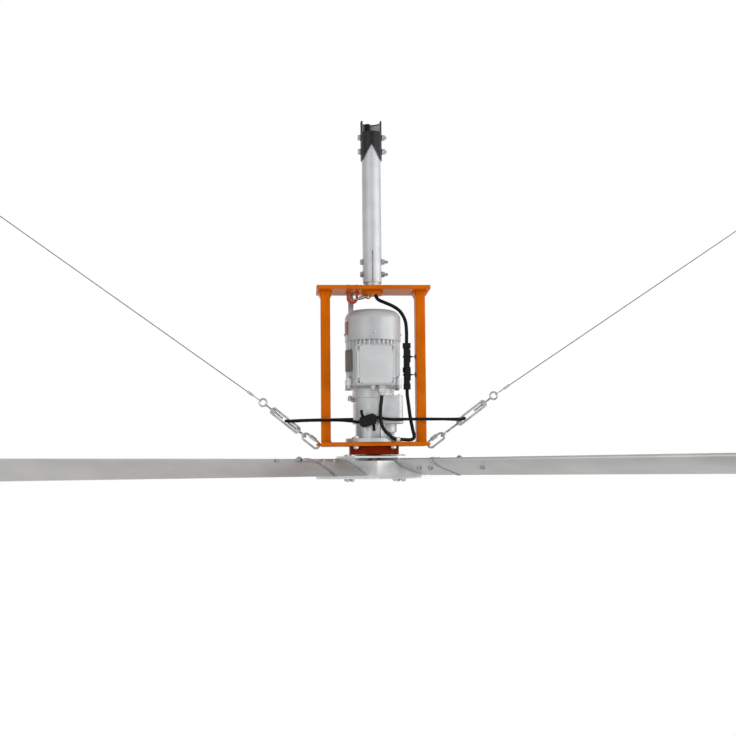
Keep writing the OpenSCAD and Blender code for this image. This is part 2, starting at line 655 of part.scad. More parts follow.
// Drive-end shield and gearbox lid in one casting, waisted under the motor
module motor_adapter() color([0.77, 0.77, 0.76]) {
    difference() {
        translate([0, 0, case_top]) {
            linear_extrude(adapter_lip) case_outline(0);
            case_ears(adapter_lip);
            rotate_extrude() polygon(concat([[0, 0], [adapter_r, 0]],
                [for (a = [0:15:90]) [adapter_r, adapter_h - 4] + cove_r * [1 - cos(a), sin(a) - 1]],
                [[adapter_r + cove_r, adapter_h], [0, adapter_h]]));
            translate([0, 0, adapter_h - 10]) ears(10);
            translate([lay[0], lay[1], 0]) cylinder(r = 20.5, h = 14);
        }
        translate([0, 0, motor_bottom - 15]) cylinder(r = 26, h = 15 + cut);
        translate([0, 0, case_top - cut]) cylinder(r = 18, h = adapter_h);
        translate([lay[0], lay[1], case_top - cut]) cylinder(r = 17.5, h = 11 + cut);
        ear_places() translate([0, 0, motor_bottom - 14]) cylinder(d = 8, h = 14 + cut);
        case_screw_places() translate([0, 0, case_top - cut])
            cylinder(d = 6 + 2 * bolt_gap, h = adapter_lip + 2 * cut);
    }
}

module stator_core() color([0.42, 0.42, 0.44]) {
    r0 = stator_bore_d / 2;
    translate([0, 0, stator_low]) linear_extrude(stator_len) difference() {
        circle(stator_r);
        circle(r0);
        for (i = [0:23]) rotate(15 * i) polygon([[r0 - 1, -1.2], [r0 + 2, -1.2], [r0 + 3, -2.6], [r0 + 14, -4.2],
            [r0 + 14, 4.2], [r0 + 3, 2.6], [r0 + 2, 1.2], [r0 - 1, 1.2]]);
    }
}

// Copper in the slots with a wound head at each end
module stator_windings() color([0.72, 0.38, 0.16]) {
    r0 = stator_bore_d / 2;
    translate([0, 0, stator_low]) for (i = [0:23]) rotate([0, 0, 15 * i]) linear_extrude(stator_len)
        polygon([[r0 + 4, -2.4], [r0 + 13.5, -3.8], [r0 + 13.5, 3.8], [r0 + 4, 2.4]]);
    for (z = [stator_low - winding_h, stator_low + stator_len]) translate([0, 0, z])
        rotate_extrude() translate([r0 + 9, winding_h / 2]) round_rect([12, winding_h], 5);
}

// Cast box on the motor's front with its cable entries below
module terminal_box() color([0.76, 0.76, 0.75]) {
    r = 10;
    difference() {
        union() {
            difference() {
                translate([0, -box_back, box_mid]) rotate([90, 0, 0]) slab([box_size[0], box_size[2]], r, box_size[1]);
                translate([0, -box_back - box_wall, box_mid]) rotate([90, 0, 0])
                    slab([box_size[0] - 2 * box_wall - 4, box_size[2] - 2 * box_wall - 4], r - box_wall, box_size[1]);
            }
            lid_screw_places() cylinder(r = 5, h = box_size[1]);
        }
        lid_screw_places() translate([0, 0, box_size[1] - 9]) cylinder(d = 4, h = 12);
        translate([0, -box_back + cut, box_mid]) rotate([90, 0, 0]) cylinder(d = 40, h = box_wall + 2 * cut);
        for (e = entries) translate([e[0], -gland_y, box_low - cut]) cylinder(d = e[1], h = box_wall + 8);
    }
}
module lid_screw_places() for (x = [-1, 1], z = [-1, 1])
    translate([x * lid_screw[0], -box_back, box_mid + z * lid_screw[1]]) rotate([90, 0, 0]) children();
gland_y = 115;
entries = [[19, 20], [-7, 12]];

// Lid whose raised panel is cut away round the corner screws
module terminal_lid() color([0.78, 0.78, 0.77]) {
    translate([0, -box_front, box_mid]) rotate([90, 0, 0]) difference() {
        union() {
            slab([box_size[0], box_size[2]], 10, lid_rim);
            slab([box_size[0] - 2 * lid_inset, box_size[2] - 2 * lid_inset], 8, lid_t);
        }
        for (x = [-1, 1], y = [-1, 1]) translate([x * lid_screw[0], y * lid_screw[1], 0]) {
            translate([0, 0, lid_rim]) cylinder(r = 12, h = lid_t);
            translate([0, 0, -cut]) cylinder(d = 4 + 2 * bolt_gap, h = lid_t + 2 * cut);
        }
    }
}

module terminal_block() color([0.85, 0.83, 0.75]) {
    translate([0, -box_back - box_wall, box_mid + 10]) rotate([90, 0, 0]) {
        difference() {
            slab([64, 40], 4, 9);
            translate([0, 0, -cut]) cylinder(d = 10, h = 12);
        }
        for (x = [-20, 0, 20], y = [-11, 11]) translate([x, y, 9]) {
            cylinder(d = 4, h = 14);
            hex(8, 4);
            translate([0, 0, 4]) cylinder(d = 9, h = 1.2);
        }
    }
}

// Cable gland with its dome nut, and a blanking plug beside it
module cable_gland() color([0.70, 0.70, 0.70]) {
    translate([entries[0][0], -gland_y, box_low]) difference() {
        union() {
            cylinder(d = entries[0][1], h = box_wall + 4);
            translate([0, 0, -7]) hex(28, 7);
            translate([0, 0, -9]) cylinder(d = 22, h = 2);
            translate([0, 0, -22]) hex(27, 13);
            translate([0, 0, -31]) cylinder(d1 = 17, d2 = 24, h = 9, $fn = 48);
        }
        translate([0, 0, -32]) cylinder(d = lead_d + 0.6, h = 60);
    }
    translate([entries[1][0], -gland_y, box_low]) {
        cylinder(d = entries[1][1], h = box_wall + 3);
        translate([0, 0, -6]) cylinder(d = 19, h = 6);
        translate([0, 0, -13]) hex(13, 7);
    }
}

// Outline of the gear case seen from above: round on the main axis, square over the layshaft
module case_outline(grow) {
    bump_x = 8;
    circle(case_r + grow);
    translate([(bump_x + lay[0] + case_side) / 2, lay[1]])
        round_rect([lay[0] + case_side - bump_x + 2 * grow, 2 * (case_side + grow)], 14 + grow);
}
module case_screw_places() for (p = case_screws) translate([p[0], p[1], 0]) children();
module case_ears(h) linear_extrude(h) for (i = [0, 1]) ear(case_screws[i], 7.5, case_r - 4, 10);

module gearbox_housing() color([0.77, 0.77, 0.76]) {
    difference() {
        union() {
            translate([0, 0, case_bottom]) linear_extrude(case_h) case_outline(0);
            translate([0, 0, case_bottom - 3]) linear_extrude(5) case_outline(2);
            translate([0, 0, case_top - 8]) case_ears(8);
            translate([0, 0, flange_top - cut]) cylinder(r1 = neck_r - 5, r2 = neck_r, h = neck_h + cut, $fn = 64);
            translate([0, 0, bottom_z]) cylinder(d = flange_d, h = flange_t);
            translate([lay[0] + 5, lay[1], case_bottom - 30]) cylinder(r = 23.5, h = 32);
            translate([lay[0] + 12, lay[1] - 6, case_bottom - 39]) cylinder(r = 9, h = 10);
            for (a = [0:45:315]) rotate([0, 0, a + 22.5]) translate([neck_r - 14, -3, flange_top - cut])
                cube([16, 6, neck_h]);
            // round drain pocket on the front
            translate([-24, -44, flange_top - cut]) cylinder(r = 16, h = neck_h - 14);
        }
        translate([0, 0, case_bottom + case_floor]) linear_extrude(case_h) {
            circle(case_r - case_wall);
            translate(lay) circle(cavity_r);
        }
        translate([0, 0, bottom_z - cut]) cylinder(r = shaft_r + 2.5, h = case_h);
        for (z = output_bearings) translate([0, 0, z]) cylinder(r = 31, h = 16);
        translate([0, 0, bottom_z + 14]) cylinder(r = 28, h = neck_h);
        translate([0, 0, bottom_z - cut]) cylinder(r = 31, h = 22);
        translate([0, 0, output_bearings[0]]) cylinder(r = 31, h = case_bottom + case_floor + cut - output_bearings[0]);
        translate([lay[0], lay[1], case_bottom - 3]) cylinder(r = 17.5, h = case_floor + 4);
        flange_holes() translate([0, 0, bottom_z - cut]) cylinder(d = 10 + 2 * bolt_gap, h = flange_t + 2 * cut);
        case_screw_places() translate([0, 0, case_top - 16]) cylinder(d = 6, h = 16 + cut);
        translate([-case_r - cut, -plug_y, plug_z]) rotate([0, 90, 0]) cylinder(d = 8, h = case_wall + 2 * cut + 3);
    }
}
output_bearings = [case_bottom - 24, bottom_z + 5];
plug_y = 20;
plug_z = case_top - 8;

// Case screws, flange bolts with their nuts under the frame, guard screws and the oil plug
module gearbox_bolts() color([0.72, 0.72, 0.70]) {
    for (i = [0:3]) translate([case_screws[i][0], case_screws[i][1], case_top + adapter_lip])
        bolt(6, adapter_lip + (i < 2 ? 8 : 16), nut = false);
    flange_holes() translate([0, 0, flange_top]) bolt(10, flange_t + frame_plate_t);
    for (x = [-1, 1]) translate([x * guard_screw_x, 0, guard_under + guard_sink]) mirror([0, 0, 1])
        bolt(8, frame_plate_t + guard_size[2] - guard_sink - 2, nut = false);
    translate([-sqrt(case_r * case_r - plug_y * plug_y), -plug_y, plug_z]) rotate([0, -90, 0]) {
        translate([0, 0, -case_wall + 1]) cylinder(d = 8, h = case_wall + 6);
        translate([0, 0, 3]) hex(10, 7);
    }
}

// A shielded ball bearing, set back a little between its rings
module ball_bearing(bore, outer, w) {
    ri = bore / 2;
    ro = outer / 2;
    t = (ro - ri) * 0.28;
    rotate_extrude() polygon([[ri, 0], [ri + t, 0], [ri + t, 0.8], [ro - t, 0.8], [ro - t, 0], [ro, 0],
        [ro, w], [ro - t, w], [ro - t, w - 0.8], [ri + t, w - 0.8], [ri + t, w], [ri, w]]);
}
module ball_bearings() color([0.80, 0.80, 0.82]) {
    for (z = output_bearings) translate([0, 0, z]) ball_bearing(output_d, 62, 16);
    for (z = [case_bottom - 3, case_top]) translate([lay[0], lay[1], z]) ball_bearing(15, 35, 11);
    translate([0, 0, motor_bottom - 15]) ball_bearing(25, 52, 15);
    translate([0, 0, motor_top - 1]) ball_bearing(25, 52, 15);
}

module output_seal() color([0.15, 0.15, 0.16]) {
    translate([0, 0, bottom_z]) difference() {
        cylinder(r = 31, h = 5);
        translate([0, 0, -cut]) cylinder(r = output_d / 2 + 0.05, h = 7);
        translate([0, 0, -cut]) cylinder(r = 19, h = 3);
    }
}

// U-bolt under the top plate with its nuts above
ubolt_x = -64;
ubolt_r = 14.3;
ubolt_d = 8;
ubolt_low = top_under - 20;
module safety_ubolt() color([0.75, 0.22, 0.05]) {
    translate([ubolt_x, 0, ubolt_low]) {
        rotate([-90, 0, 0]) rotate_extrude(angle = 180) translate([ubolt_r, 0]) circle(d = ubolt_d);
        for (s = [-1, 1]) translate([s * ubolt_r, 0, 0]) {
            cylinder(d = ubolt_d, h = top_z - ubolt_low + 12);
            translate([0, 0, top_z - ubolt_low]) hex(13, 7);
            translate([0, 0, top_under - ubolt_low - 5]) hex(13, 5 - clear);
        }
    }
}

// Oval link from the U-bolt to the eye under the nut, lying across both
safety_r = 8;
safety_d = 5.5;
module safety_link() color([0.74, 0.74, 0.75]) {
    from = [ubolt_x, ubolt_low - 6.5];
    to = safety_eye + [-1, -1.5];
    run = to - from;
    translate([from[0], 0, from[1]]) rotate([0, -atan2(run[1], run[0]), 0]) translate([safety_r, 0, 0])
        mirror([0, 1, 0]) oval_link(safety_r, safety_d, norm(run) - 2 * safety_r, 0.64);
}

// A link drawn in X and Y from the origin's end to the end at x = pitch, with a screw sleeve at a share of it
module oval_link(r, d, pitch, sleeve_at = 0.5) {
    rotate([0, 0, 90]) rotate_extrude(angle = 180) translate([r, 0]) circle(d = d, $fn = 24);
    translate([pitch, 0, 0]) rotate([0, 0, -90]) rotate_extrude(angle = 180) translate([r, 0]) circle(d = d, $fn = 24);
    for (s = [-1, 1]) translate([0, s * r, 0]) rotate([0, 90, 0]) cylinder(d = d, h = pitch, $fn = 24);
    translate([pitch * sleeve_at - 0.8 * r - 2, r, 0]) rotate([0, 90, 0]) hex(1.75 * d, 1.6 * r + 4);
}

// Flat steel strap from the top plate down behind the fan cover to the motor
strap_at = [-66, 70];
strap_w = 17;
strap_t = 4;
strap_bolt_y = strap_at[1] - 16;
strap_bolt_z = motor_bottom + 82;
module motor_strap() color([0.66, 0.66, 0.66]) {
    low = strap_bolt_z - 14;
    difference() {
        union() {
            translate([strap_at[0] - strap_w / 2, strap_at[1], low]) cube([strap_w, strap_t, top_under - low]);
            translate([strap_at[0] - strap_w / 2, strap_bolt_y - 14, top_under - strap_t])
                cube([strap_w, strap_at[1] - strap_bolt_y + 14 + cut, strap_t]);
        }
        translate([strap_at[0], strap_at[1] + 8, strap_bolt_z]) rotate([90, 0, 0])
            cylinder(d = 8 + 2 * bolt_gap, h = 12);
        translate([strap_at[0], strap_bolt_y, top_under - 6]) cylinder(d = 8 + 2 * bolt_gap, h = 8);
    }
    translate([strap_at[0], strap_at[1] + strap_t, strap_bolt_z]) rotate([-90, 0, 0])
        bolt(8, strap_t + 10, nut = false);
    translate([strap_at[0], strap_bolt_y, top_under - strap_t]) mirror([0, 0, 1])
        bolt(8, strap_t + frame_plate_t);
}

module supply_lead() color([0.05, 0.05, 0.05]) swept(smooth_route(supply_route, 3), lead_d, 10, [0, 1, 0]);
module motor_lead() color([0.05, 0.05, 0.05]) swept(smooth_route(motor_route, 3), lead_d, 10, [0, 1, 0]);
module tie_rope() color([0.05, 0.05, 0.05]) swept(rope_points, rope_d, 8, [0, 1, 0]);
rope_points = smooth_route(rope_route, 2);

// Inline connector beside the motor in two halves with a locking lever, and the end connector in the hanger
conn_top = -700;
conn_len = 147;
module lead_connectors() color([0.07, 0.07, 0.07]) {
    mid = conn_top - 66;
    low = conn_top - conn_len;
    translate([connector_at[0], connector_at[1], 0]) {
        translate([0, 0, conn_top - 16]) slab([25, 22], 5, 16);
        translate([-0.5, 0, mid]) slab([19, 20], 4, conn_top - 16 - mid);
        translate([9, 0, mid + 6]) slab([6, 10], 1.5, 40);
        translate([0, 0, low]) slab([22, 21], 5, 19);
        translate([-0.5, 0, low + 19]) slab([19, 20], 4, mid - clear - low - 19);
        translate([9, 0, low + 29]) slab([6, 10], 1.5, 42);
        translate([-11.5, 0, low + 54]) slab([3, 12], 1, 16);
    }
    translate([lead_in[0], lead_in[1], -15]) difference() {
        union() {
            cylinder(d = 13, h = 10);
            translate([0, 0, 10]) cylinder(d = 16, h = 18);
        }
        for (a = [0:120:240]) rotate([0, 0, a]) translate([4, 0, 18]) cylinder(d = 2.5, h = 12);
    }
}

// Two ties that hold the connector to the right post, and the pale tie on the motor lead
tie_z = [-743, -800];
module cable_ties() color([0.12, 0.10, 0.10]) {
    post_face = frame_w / 2 - post_w;
    for (z = tie_z) translate([0, 0, z]) {
        translate([connector_at[0] + 1, connector_at[1], -2]) linear_extrude(4) difference() {
            round_rect([27, 25.4], 4);
            round_rect([24.4, 22.8], 3);
        }
        translate([connector_at[0] + 14, connector_at[1] - 2, -1.5])
            cube([post_face - connector_at[0] - 16.5, 4, 3]);
        translate([post_face - 3, connector_at[1] - 7, -7]) cube([3, 14, 14]);
    }
    translate([70, -74.3, bottom_z + 7.9]) rotate([0, 90, 19]) translate([0, 0, -6]) ring(7.5, 6.2, 12);
}

module quick_links() color([0.72, 0.72, 0.73]) {
    for (side = [0, 1]) on_tackle(side) rotate([90, 0, 0]) oval_link(link_end_r, link_d, link_pitch);
}

// Open turnbuckle body: two threaded ends joined by two side bars
bar_off = 9;
module turnbuckle_bodies() color([0.73, 0.73, 0.74]) {
    for (side = [0, 1]) on_tackle(side) translate([body_start[side], 0, 0]) {
        difference() {
            for (x = [0, turnbuckle_len - 14]) translate([x, 0, 0]) rotate([0, 90, 0]) cylinder(d = 17, h = 14);
            translate([-cut, 0, 0]) rotate([0, 90, 0]) cylinder(d = rod_d + 2 * bolt_gap, h = turnbuckle_len + 2 * cut);
        }
        for (s = [-1, 1]) translate([3, 0, s * bar_off]) rotate([0, 90, 0]) cylinder(d = 7, h = turnbuckle_len - 6);
    }
}
rod_d = 8;
hook_r = 9;
hook_at = link_pitch + link_end_r + hook_r - (link_d / 2 + rod_d / 2 + clear);
rod_ends = [[112, 132], [123, 172]];
module turnbuckle_rods() color([0.74, 0.74, 0.74]) {
    for (side = [0, 1]) on_tackle(side) {
        // hook, bent in the plane square to the link, nearly closed, on a shank with a slimmer neck
        translate([hook_at, 0, 0]) rotate([0, 0, 80]) rotate_extrude(angle = 320) translate([hook_r, 0])
            circle(d = rod_d);
        translate([hook_at + hook_r, 0, 0]) rotate([0, 90, 0])
            cylinder(d = rod_d - 0.6, h = rod_ends[side][0] - hook_at - hook_r);
        translate([hook_at + hook_r + 6, 0, 0]) rotate([0, 90, 0])
            cylinder(d = rod_d, h = rod_ends[side][0] - hook_at - hook_r - 6);
        translate([eye_at[side], 0, 0]) rotate([90, 0, 0]) torus(eye_r, eye_wire);
        translate([rod_ends[side][1], 0, 0]) rotate([0, 90, 0])
            cylinder(d = rod_d - 1, h = eye_at[side] - eye_r - rod_ends[side][1] + 1);
    }
}

// Wire from its ferrule to its ceiling eye
ferrule_at = 40;
ferrule_len = 20;
module guy_cable(side) color([0.66, 0.66, 0.67]) on_wire(side)
    translate([ferrule_at + ferrule_len, 0, 0])
        swept([for (i = [0:12]) [i / 12 * (wire_reach[side] - ferrule_at - ferrule_len), 0, 0]], guy_d, 8, [0, 1, 0]);
module guy_cable_left() guy_cable(0);
module guy_cable_right() guy_cable(1);

// Thimble loop and ferrule at the eye, and the eye plate that takes the ceiling hook
thimble_r = 6.5;
thimble_at = eye_r + thimble_r - (eye_wire / 2 + guy_d / 2 + clear);
ceiling_hole_d = 13;
module guy_fittings() color([0.70, 0.70, 0.70]) {
    for (side = [0, 1]) on_wire(side) {
        translate([thimble_at, 0, 0]) torus(thimble_r, guy_d);
        translate([thimble_at + thimble_r - 0.5, 0, 0]) rotate([0, 90, 0])
            cylinder(d = 1.3 * guy_d, h = ferrule_at - thimble_at - thimble_r + 1);
        translate([ferrule_at, 0, 0]) rotate([0, 90, 0]) cylinder(d = 8, h = ferrule_len);
        translate([wire_reach[side], 0, 0]) {
            rotate([0, 90, 0]) cylinder(d = 9, h = 24);
            difference() {
                translate([32, 0, 0]) rotate([90, 0, 0]) cylinder(r = 13, h = 8, center = true);
                translate([32, 0, 0]) rotate([90, 0, 0]) cylinder(d = ceiling_hole_d, h = 12, center = true);
            }
        }
    }
}

// Two-channel cable lock on the tie rope
module rope_lock() color([0.09, 0.09, 0.09]) {
    translate(lock_at) rotate([0, -lock_tilt, 0]) rotate([90, 0, 0]) translate([0, 0, -11]) {
        slab([56, 26], 8, 22);
        for (y = [-13, 13]) translate([0, y, 5]) slab([44, 8], 3.5, 12);
        for (x = [-12, 0, 12]) translate([x, 0, 21]) slab([5, 20], 2, 2.2);
    }
}

module motor_shaft() color([0.62, 0.63, 0.65]) {
    low = stage1_low;
    r = motor_shaft_r;
    translate([0, 0, motor_bottom - 20]) cylinder(r = r, h = motor_top + 14 - motor_bottom + 20);
    translate([0, 0, stator_low - 14]) cylinder(r = 15.5, h = stator_len + 28);
    translate([0, 0, motor_top + 13]) cylinder(r = 9, h = 40);
    translate([0, 0, low + stage1_h - 1]) cylinder(r = 9.5, h = motor_bottom - 19 - low - stage1_h);
    translate([0, 0, low]) rotate([0, 0, layshaft_angle])
        gear(pinion_teeth, stage1_h, pinion_add, gear_add + tip_clear, 0.5);
}

module rotor_core() color([0.55, 0.55, 0.57]) {
    r = stator_bore_d / 2 - air_gap;
    difference() {
        union() {
            translate([0, 0, stator_low]) cylinder(r = r, h = stator_len);
            for (i = [0:11]) rotate([0, 0, 30 * i]) translate([r - 9, -1, stator_low - 9])
                cube([6, 2, stator_len + 18]);
            for (z = [stator_low - 4, stator_low + stator_len - cut]) translate([0, 0, z])
                ring(r - 2, r - 14, 4 + cut);
        }
        translate([0, 0, stator_low - 10]) cylinder(r = 15.5, h = stator_len + 20);
    }
}

// Plastic radial fan under the cover
module cooling_fan() color([0.20, 0.20, 0.22]) {
    low = motor_top + 24;
    difference() {
        translate([0, 0, low]) {
            cylinder(r = 16, h = 26);
            cylinder(r = 70, h = 2.5);
            for (i = [0:8]) rotate([0, 0, 40 * i]) translate([14, -1.2, 0]) cube([60, 2.4, 30]);
        }
        translate([0, 0, low - cut]) cylinder(r = 9, h = 28 + cut);
    }
}

module layshaft() color([0.62, 0.63, 0.65]) translate([lay[0], lay[1], 0]) {
    low = case_bottom - 3;
    translate([0, 0, low + 0.5]) cylinder(r = lay_r, h = case_top + 10 - low - 0.5);
    translate([0, 0, stage2_low - 1]) rotate([0, 0, layshaft_angle + 180])
        gear(pinion_teeth, stage2_h + 2, pinion_add, gear_add + tip_clear, 0.5);
    translate([0, 0, stage2_low + stage2_h]) cylinder(r = 10, h = stage1_low + 2 - stage2_low - stage2_h);
}

module layshaft_gear() color([0.66, 0.64, 0.58]) translate([lay[0], lay[1], stage1_low + 2]) {
    difference() {
        rotate([0, 0, layshaft_angle + 180])
            gear(gear_teeth, 13, gear_add, pinion_add + tip_clear, lay_r, 0.5);
        for (i = [0:5]) rotate([0, 0, 60 * i]) translate([21, 0, -cut]) cylinder(r = 6, h = 16);
    }
}

module output_shaft() color([0.62, 0.63, 0.65]) {
    difference() {
        union() {
            translate([0, 0, hub_inner_top - retainer_h + 5]) cylinder(r = shaft_r, h = output_top - hub_inner_top + retainer_h - 5);
            translate([0, 0, output_bearings[0] + 16 + clear])
                cylinder(r = 20, h = stage2_low - output_bearings[0] - 16 - clear);
        }
        translate([0, 0, hub_inner_top - retainer_h]) cylinder(d = 12, h = 34);
    }
}

module output_gear() color([0.66, 0.64, 0.58]) translate([0, 0, stage2_low]) {
    difference() {
        rotate([0, 0, layshaft_angle])
            gear(gear_teeth, stage2_h - 2, gear_add, pinion_add + tip_clear, shaft_r, 0.5);
        for (i = [0:5]) rotate([0, 0, 60 * i + 30]) translate([25, 0, -cut]) cylinder(r = 5.5, h = stage2_h + 2);
    }
}

// Black clamping flange that carries the hub on the output shaft
module hub_flange() color([0.08, 0.08, 0.09]) {
    difference() {
        union() {
            translate([0, 0, hub_top]) cylinder(d = hub_flange_d, h = hub_flange_t);
            translate([0, 0, hub_top]) cylinder(r = guard_bore_d / 2 - 4, h = hub_flange_t + 20);
        }
        translate([0, 0, hub_top - cut]) cylinder(r = shaft_r, h = hub_flange_t + 24);
        flange_screw_places() translate([0, 0, hub_top - cut]) cylinder(d = 8 + 2 * bolt_gap, h = hub_flange_t + 2 * cut);
    }
}
module flange_screw_places() for (a = [0:90:270]) rotate([0, 0, a]) translate([hub_flange_d / 2 - 14, 0, 0]) children();

// Square plate with its corners on the X and Y axes
module hub_outline(reach) {
    side = hub_corner * sqrt(2);
    intersection() {
        rotate(45) square(side, center = true);
        square(2 * reach, center = true);
    }
}
module hub_holes(z) {
    for (k = [0:3]) rotate([0, 0, 45 + 90 * k]) for (x = hub_bolt_at) translate([x, 0, z - cut])
        cylinder(d = hub_bolt_d + 2 * bolt_gap, h = hub_plate_t + 2 * cut);
}

module hub_top_plate() color([0.72, 0.73, 0.73]) {
    difference() {
        translate([0, 0, hub_inner_top]) linear_extrude(hub_plate_t) hub_outline(hub_top_reach);
        translate([0, 0, hub_inner_top - cut]) cylinder(r = shaft_r, h = hub_plate_t + 2 * cut);
        hub_holes(hub_inner_top);
        flange_screw_places() translate([0, 0, hub_inner_top - cut])
            cylinder(d = 8 + 2 * bolt_gap, h = hub_plate_t + 2 * cut);
    }
}

module hub_bottom_plate() color([0.70, 0.70, 0.70]) {
    difference() {
        translate([0, 0, hub_low]) linear_extrude(hub_plate_t) hub_outline(hub_corner - 3);
        translate([0, 0, hub_low - cut]) cylinder(r = 30, h = hub_plate_t + 2 * cut);
        hub_holes(hub_low);
    }
}

// Retaining cap on the end of the output shaft with its central bolt
module hub_retainer() color([0.80, 0.79, 0.74]) {
    translate([0, 0, hub_inner_top - retainer_h]) difference() {
        cylinder(d = 51, h = retainer_h);
        translate([0, 0, 5]) cylinder(r = shaft_r, h = retainer_h);
        translate([0, 0, -cut]) cylinder(d = 12 + 2 * bolt_gap, h = retainer_h);
    }
    translate([0, 0, hub_inner_top - retainer_h]) mirror([0, 0, 1]) bolt(12, 5 + 20, nut = false);
}

// Mitred root blocks that fill the hub between its plates, each with a slot for its arm at the blades' pitch
block_shoulder = 9;      // how far the sides of a block lie under the top plate
block_ridge = 30;        // half width of the part that reaches the top plate
module hub_wedges() color([0.62, 0.63, 0.64]) {
    outer = blade_root - 4;
    for (k = [0:3]) difference() {
        rotate([0, 0, 45 + 90 * k]) difference() {
            translate([0, 0, hub_inner_low + seat]) linear_extrude(hub_space - 2 * seat)
                polygon([[arm_root, clear - arm_root], [outer, clear - outer], [outer, outer - clear],
                    [arm_root, arm_root - clear]]);
            for (s = [0, 1]) mirror([0, s, 0])
                translate([arm_root - cut, block_ridge, hub_inner_top - block_shoulder])
                    cube([outer - arm_root + 2 * cut, outer, block_shoulder + cut]);
            // pockets from below, one in each side
            for (s = [0, 1]) mirror([0, s, 0])
                translate([0, 0, hub_inner_low - cut]) linear_extrude(hub_space - block_shoulder - 5)
                    polygon([[arm_root + 6, 36], [outer - 6, 36], [outer - 6, outer - 15], [arm_root + 6, arm_root - 3]]);
            for (x = hub_bolt_at) translate([x, 0, hub_low])
                cylinder(d = hub_bolt_d + 2 * bolt_gap, h = hub_top - hub_low);
        }
        on_arm(k) translate([arm_root - 2 * cut, -arm_w / 2 - seat, -arm_t / 2 - seat])
            cube([outer - arm_root + 12, arm_w + 2 * seat, arm_t + 2 * seat]);
    }
}

module blade_arms() color([0.60, 0.61, 0.62]) {
    for (k = [0:3]) difference() {
        on_arm(k) translate([arm_root, -arm_w / 2, -arm_t / 2]) cube([arm_reach - arm_root, arm_w, arm_t]);
        on_arm(k) for (x = blade_bolt_at) translate([x, 0, -arm_t])
            cylinder(d = blade_bolt_d + 2 * bolt_gap, h = 2 * arm_t);
        rotate([0, 0, 45 + 90 * k]) for (x = hub_bolt_at) translate([x, 0, hub_low])
            cylinder(d = hub_bolt_d + 2 * bolt_gap, h = hub_top - hub_low);
    }
}

// Hollow extruded blade: nose cell, a square cell for the arm, and a tail cell
module blade_section() {
    difference() {
        polygon(foil(0));
        polygon(foil_cell(0.03, 0.11, 4));
        square([arm_w + 2 * clear, arm_t + 2 * clear], center = true);
        polygon(foil_cell(0.56, 0.9, 6));
    }
}
module blade(k) color([0.70, 0.70, 0.69]) on_arm(k) difference() {
    along_x(blade_root, fan_r - cap_t - blade_root) blade_section();
    for (x = blade_bolt_at) translate([x, 0, -blade_t])
        cylinder(d = blade_bolt_d + 2 * bolt_gap, h = 2 * blade_t);
    translate([bracket_at, 0, 0]) cylinder(d = 5, h = blade_t);
}
module blade_1() blade(0);
module blade_2() blade(1);
module blade_3() blade(2);
module blade_4() blade(3);

module tip_caps() color([0.30, 0.30, 0.31]) {
    for (k = [0:3]) on_arm(k) {
        along_x(fan_r - cap_t + seat, cap_t - seat) polygon(foil(0));
        translate([fan_r - cap_t - 24, -arm_w / 2, -arm_t / 2]) cube([25, arm_w, arm_t]);
    }
}

// Blade bolts with nuts below, hub bolts through both plates, and the flange screws
module rotor_bolts() color([0.66, 0.66, 0.66]) {
    top = half_thick(arm_share) + 0.3;
    for (k = [0:3]) {
        on_arm(k) for (x = blade_bolt_at) translate([x, 0, top]) bolt(blade_bolt_d, 2 * top);
        rotate([0, 0, 45 + 90 * k]) for (x = hub_bolt_at) translate([x, 0, hub_top])
            bolt(hub_bolt_d, hub_top - hub_low, tail = 2);
    }
    flange_screw_places() translate([0, 0, hub_inner_top]) mirror([0, 0, 1])
        bolt(8, hub_plate_t + hub_flange_t - 0.5, nut = false);
}

// Steel band round each blade, and a bent wire bracket further out, joined by a flat strap
module blade_straps() color([0.64, 0.64, 0.64]) {
    top = half_thick(arm_share);
    for (k = [0:3]) on_arm(k) {
        along_x(band_at, 12) difference() {
            polygon(foil(1.8));
            polygon(foil(0.3));
        }
        translate([band_at + 2, -5, top + 1]) cube([bracket_at - band_at + 8, 10, 1.2]);
        translate([bracket_at, 5, top + 0.8]) rotate([90, 0, 0]) linear_extrude(10) difference() {
            polygon([[-16, 0], [-3, 12], [3, 12], [16, 0]]);
            polygon([[-11, 1.4], [-2.2, 9.6], [2.2, 9.6], [11, 1.4]]);
        }
        translate([bracket_at, 0, arm_t / 2 + clear]) cylinder(d = 4.6, h = top - arm_t / 2 + 1);
    }
}

hanger_sleeve();
down_tube();
tube_bolts();
tube_spigot();
spigot_nut();
top_plate();
left_post();
right_post();
bottom_plate();
shaft_guard();
fan_cover();
motor_screws();
motor_housing();
upper_end_shield();
motor_adapter();
stator_core();
stator_windings();
terminal_box();
terminal_lid();
terminal_block();
cable_gland();
gearbox_housing();
gearbox_bolts();
ball_bearings();
output_seal();
safety_ubolt();
safety_link();
motor_strap();
supply_lead();
lead_connectors();
cable_ties();
motor_lead();
quick_links();
turnbuckle_bodies();
turnbuckle_rods();
guy_cable_left();
guy_cable_right();
guy_fittings();
tie_rope();
rope_lock();
motor_shaft();
rotor_core();
cooling_fan();
layshaft();
layshaft_gear();
output_shaft();
output_gear();
hub_flange();
hub_top_plate();
hub_bottom_plate();
hub_retainer();
hub_wedges();
blade_arms();
blade_1();
blade_2();
blade_3();
blade_4();
tip_caps();
rotor_bolts();
blade_straps();
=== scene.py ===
# Large industrial ceiling fan: finishes, ropes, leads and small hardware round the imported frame.
# Z is up, -Y is the side of the motor's terminal box. Lengths are in metres, or in mm where a note says so.
import bpy
import bmesh
import math
from mathutils import Matrix, Vector


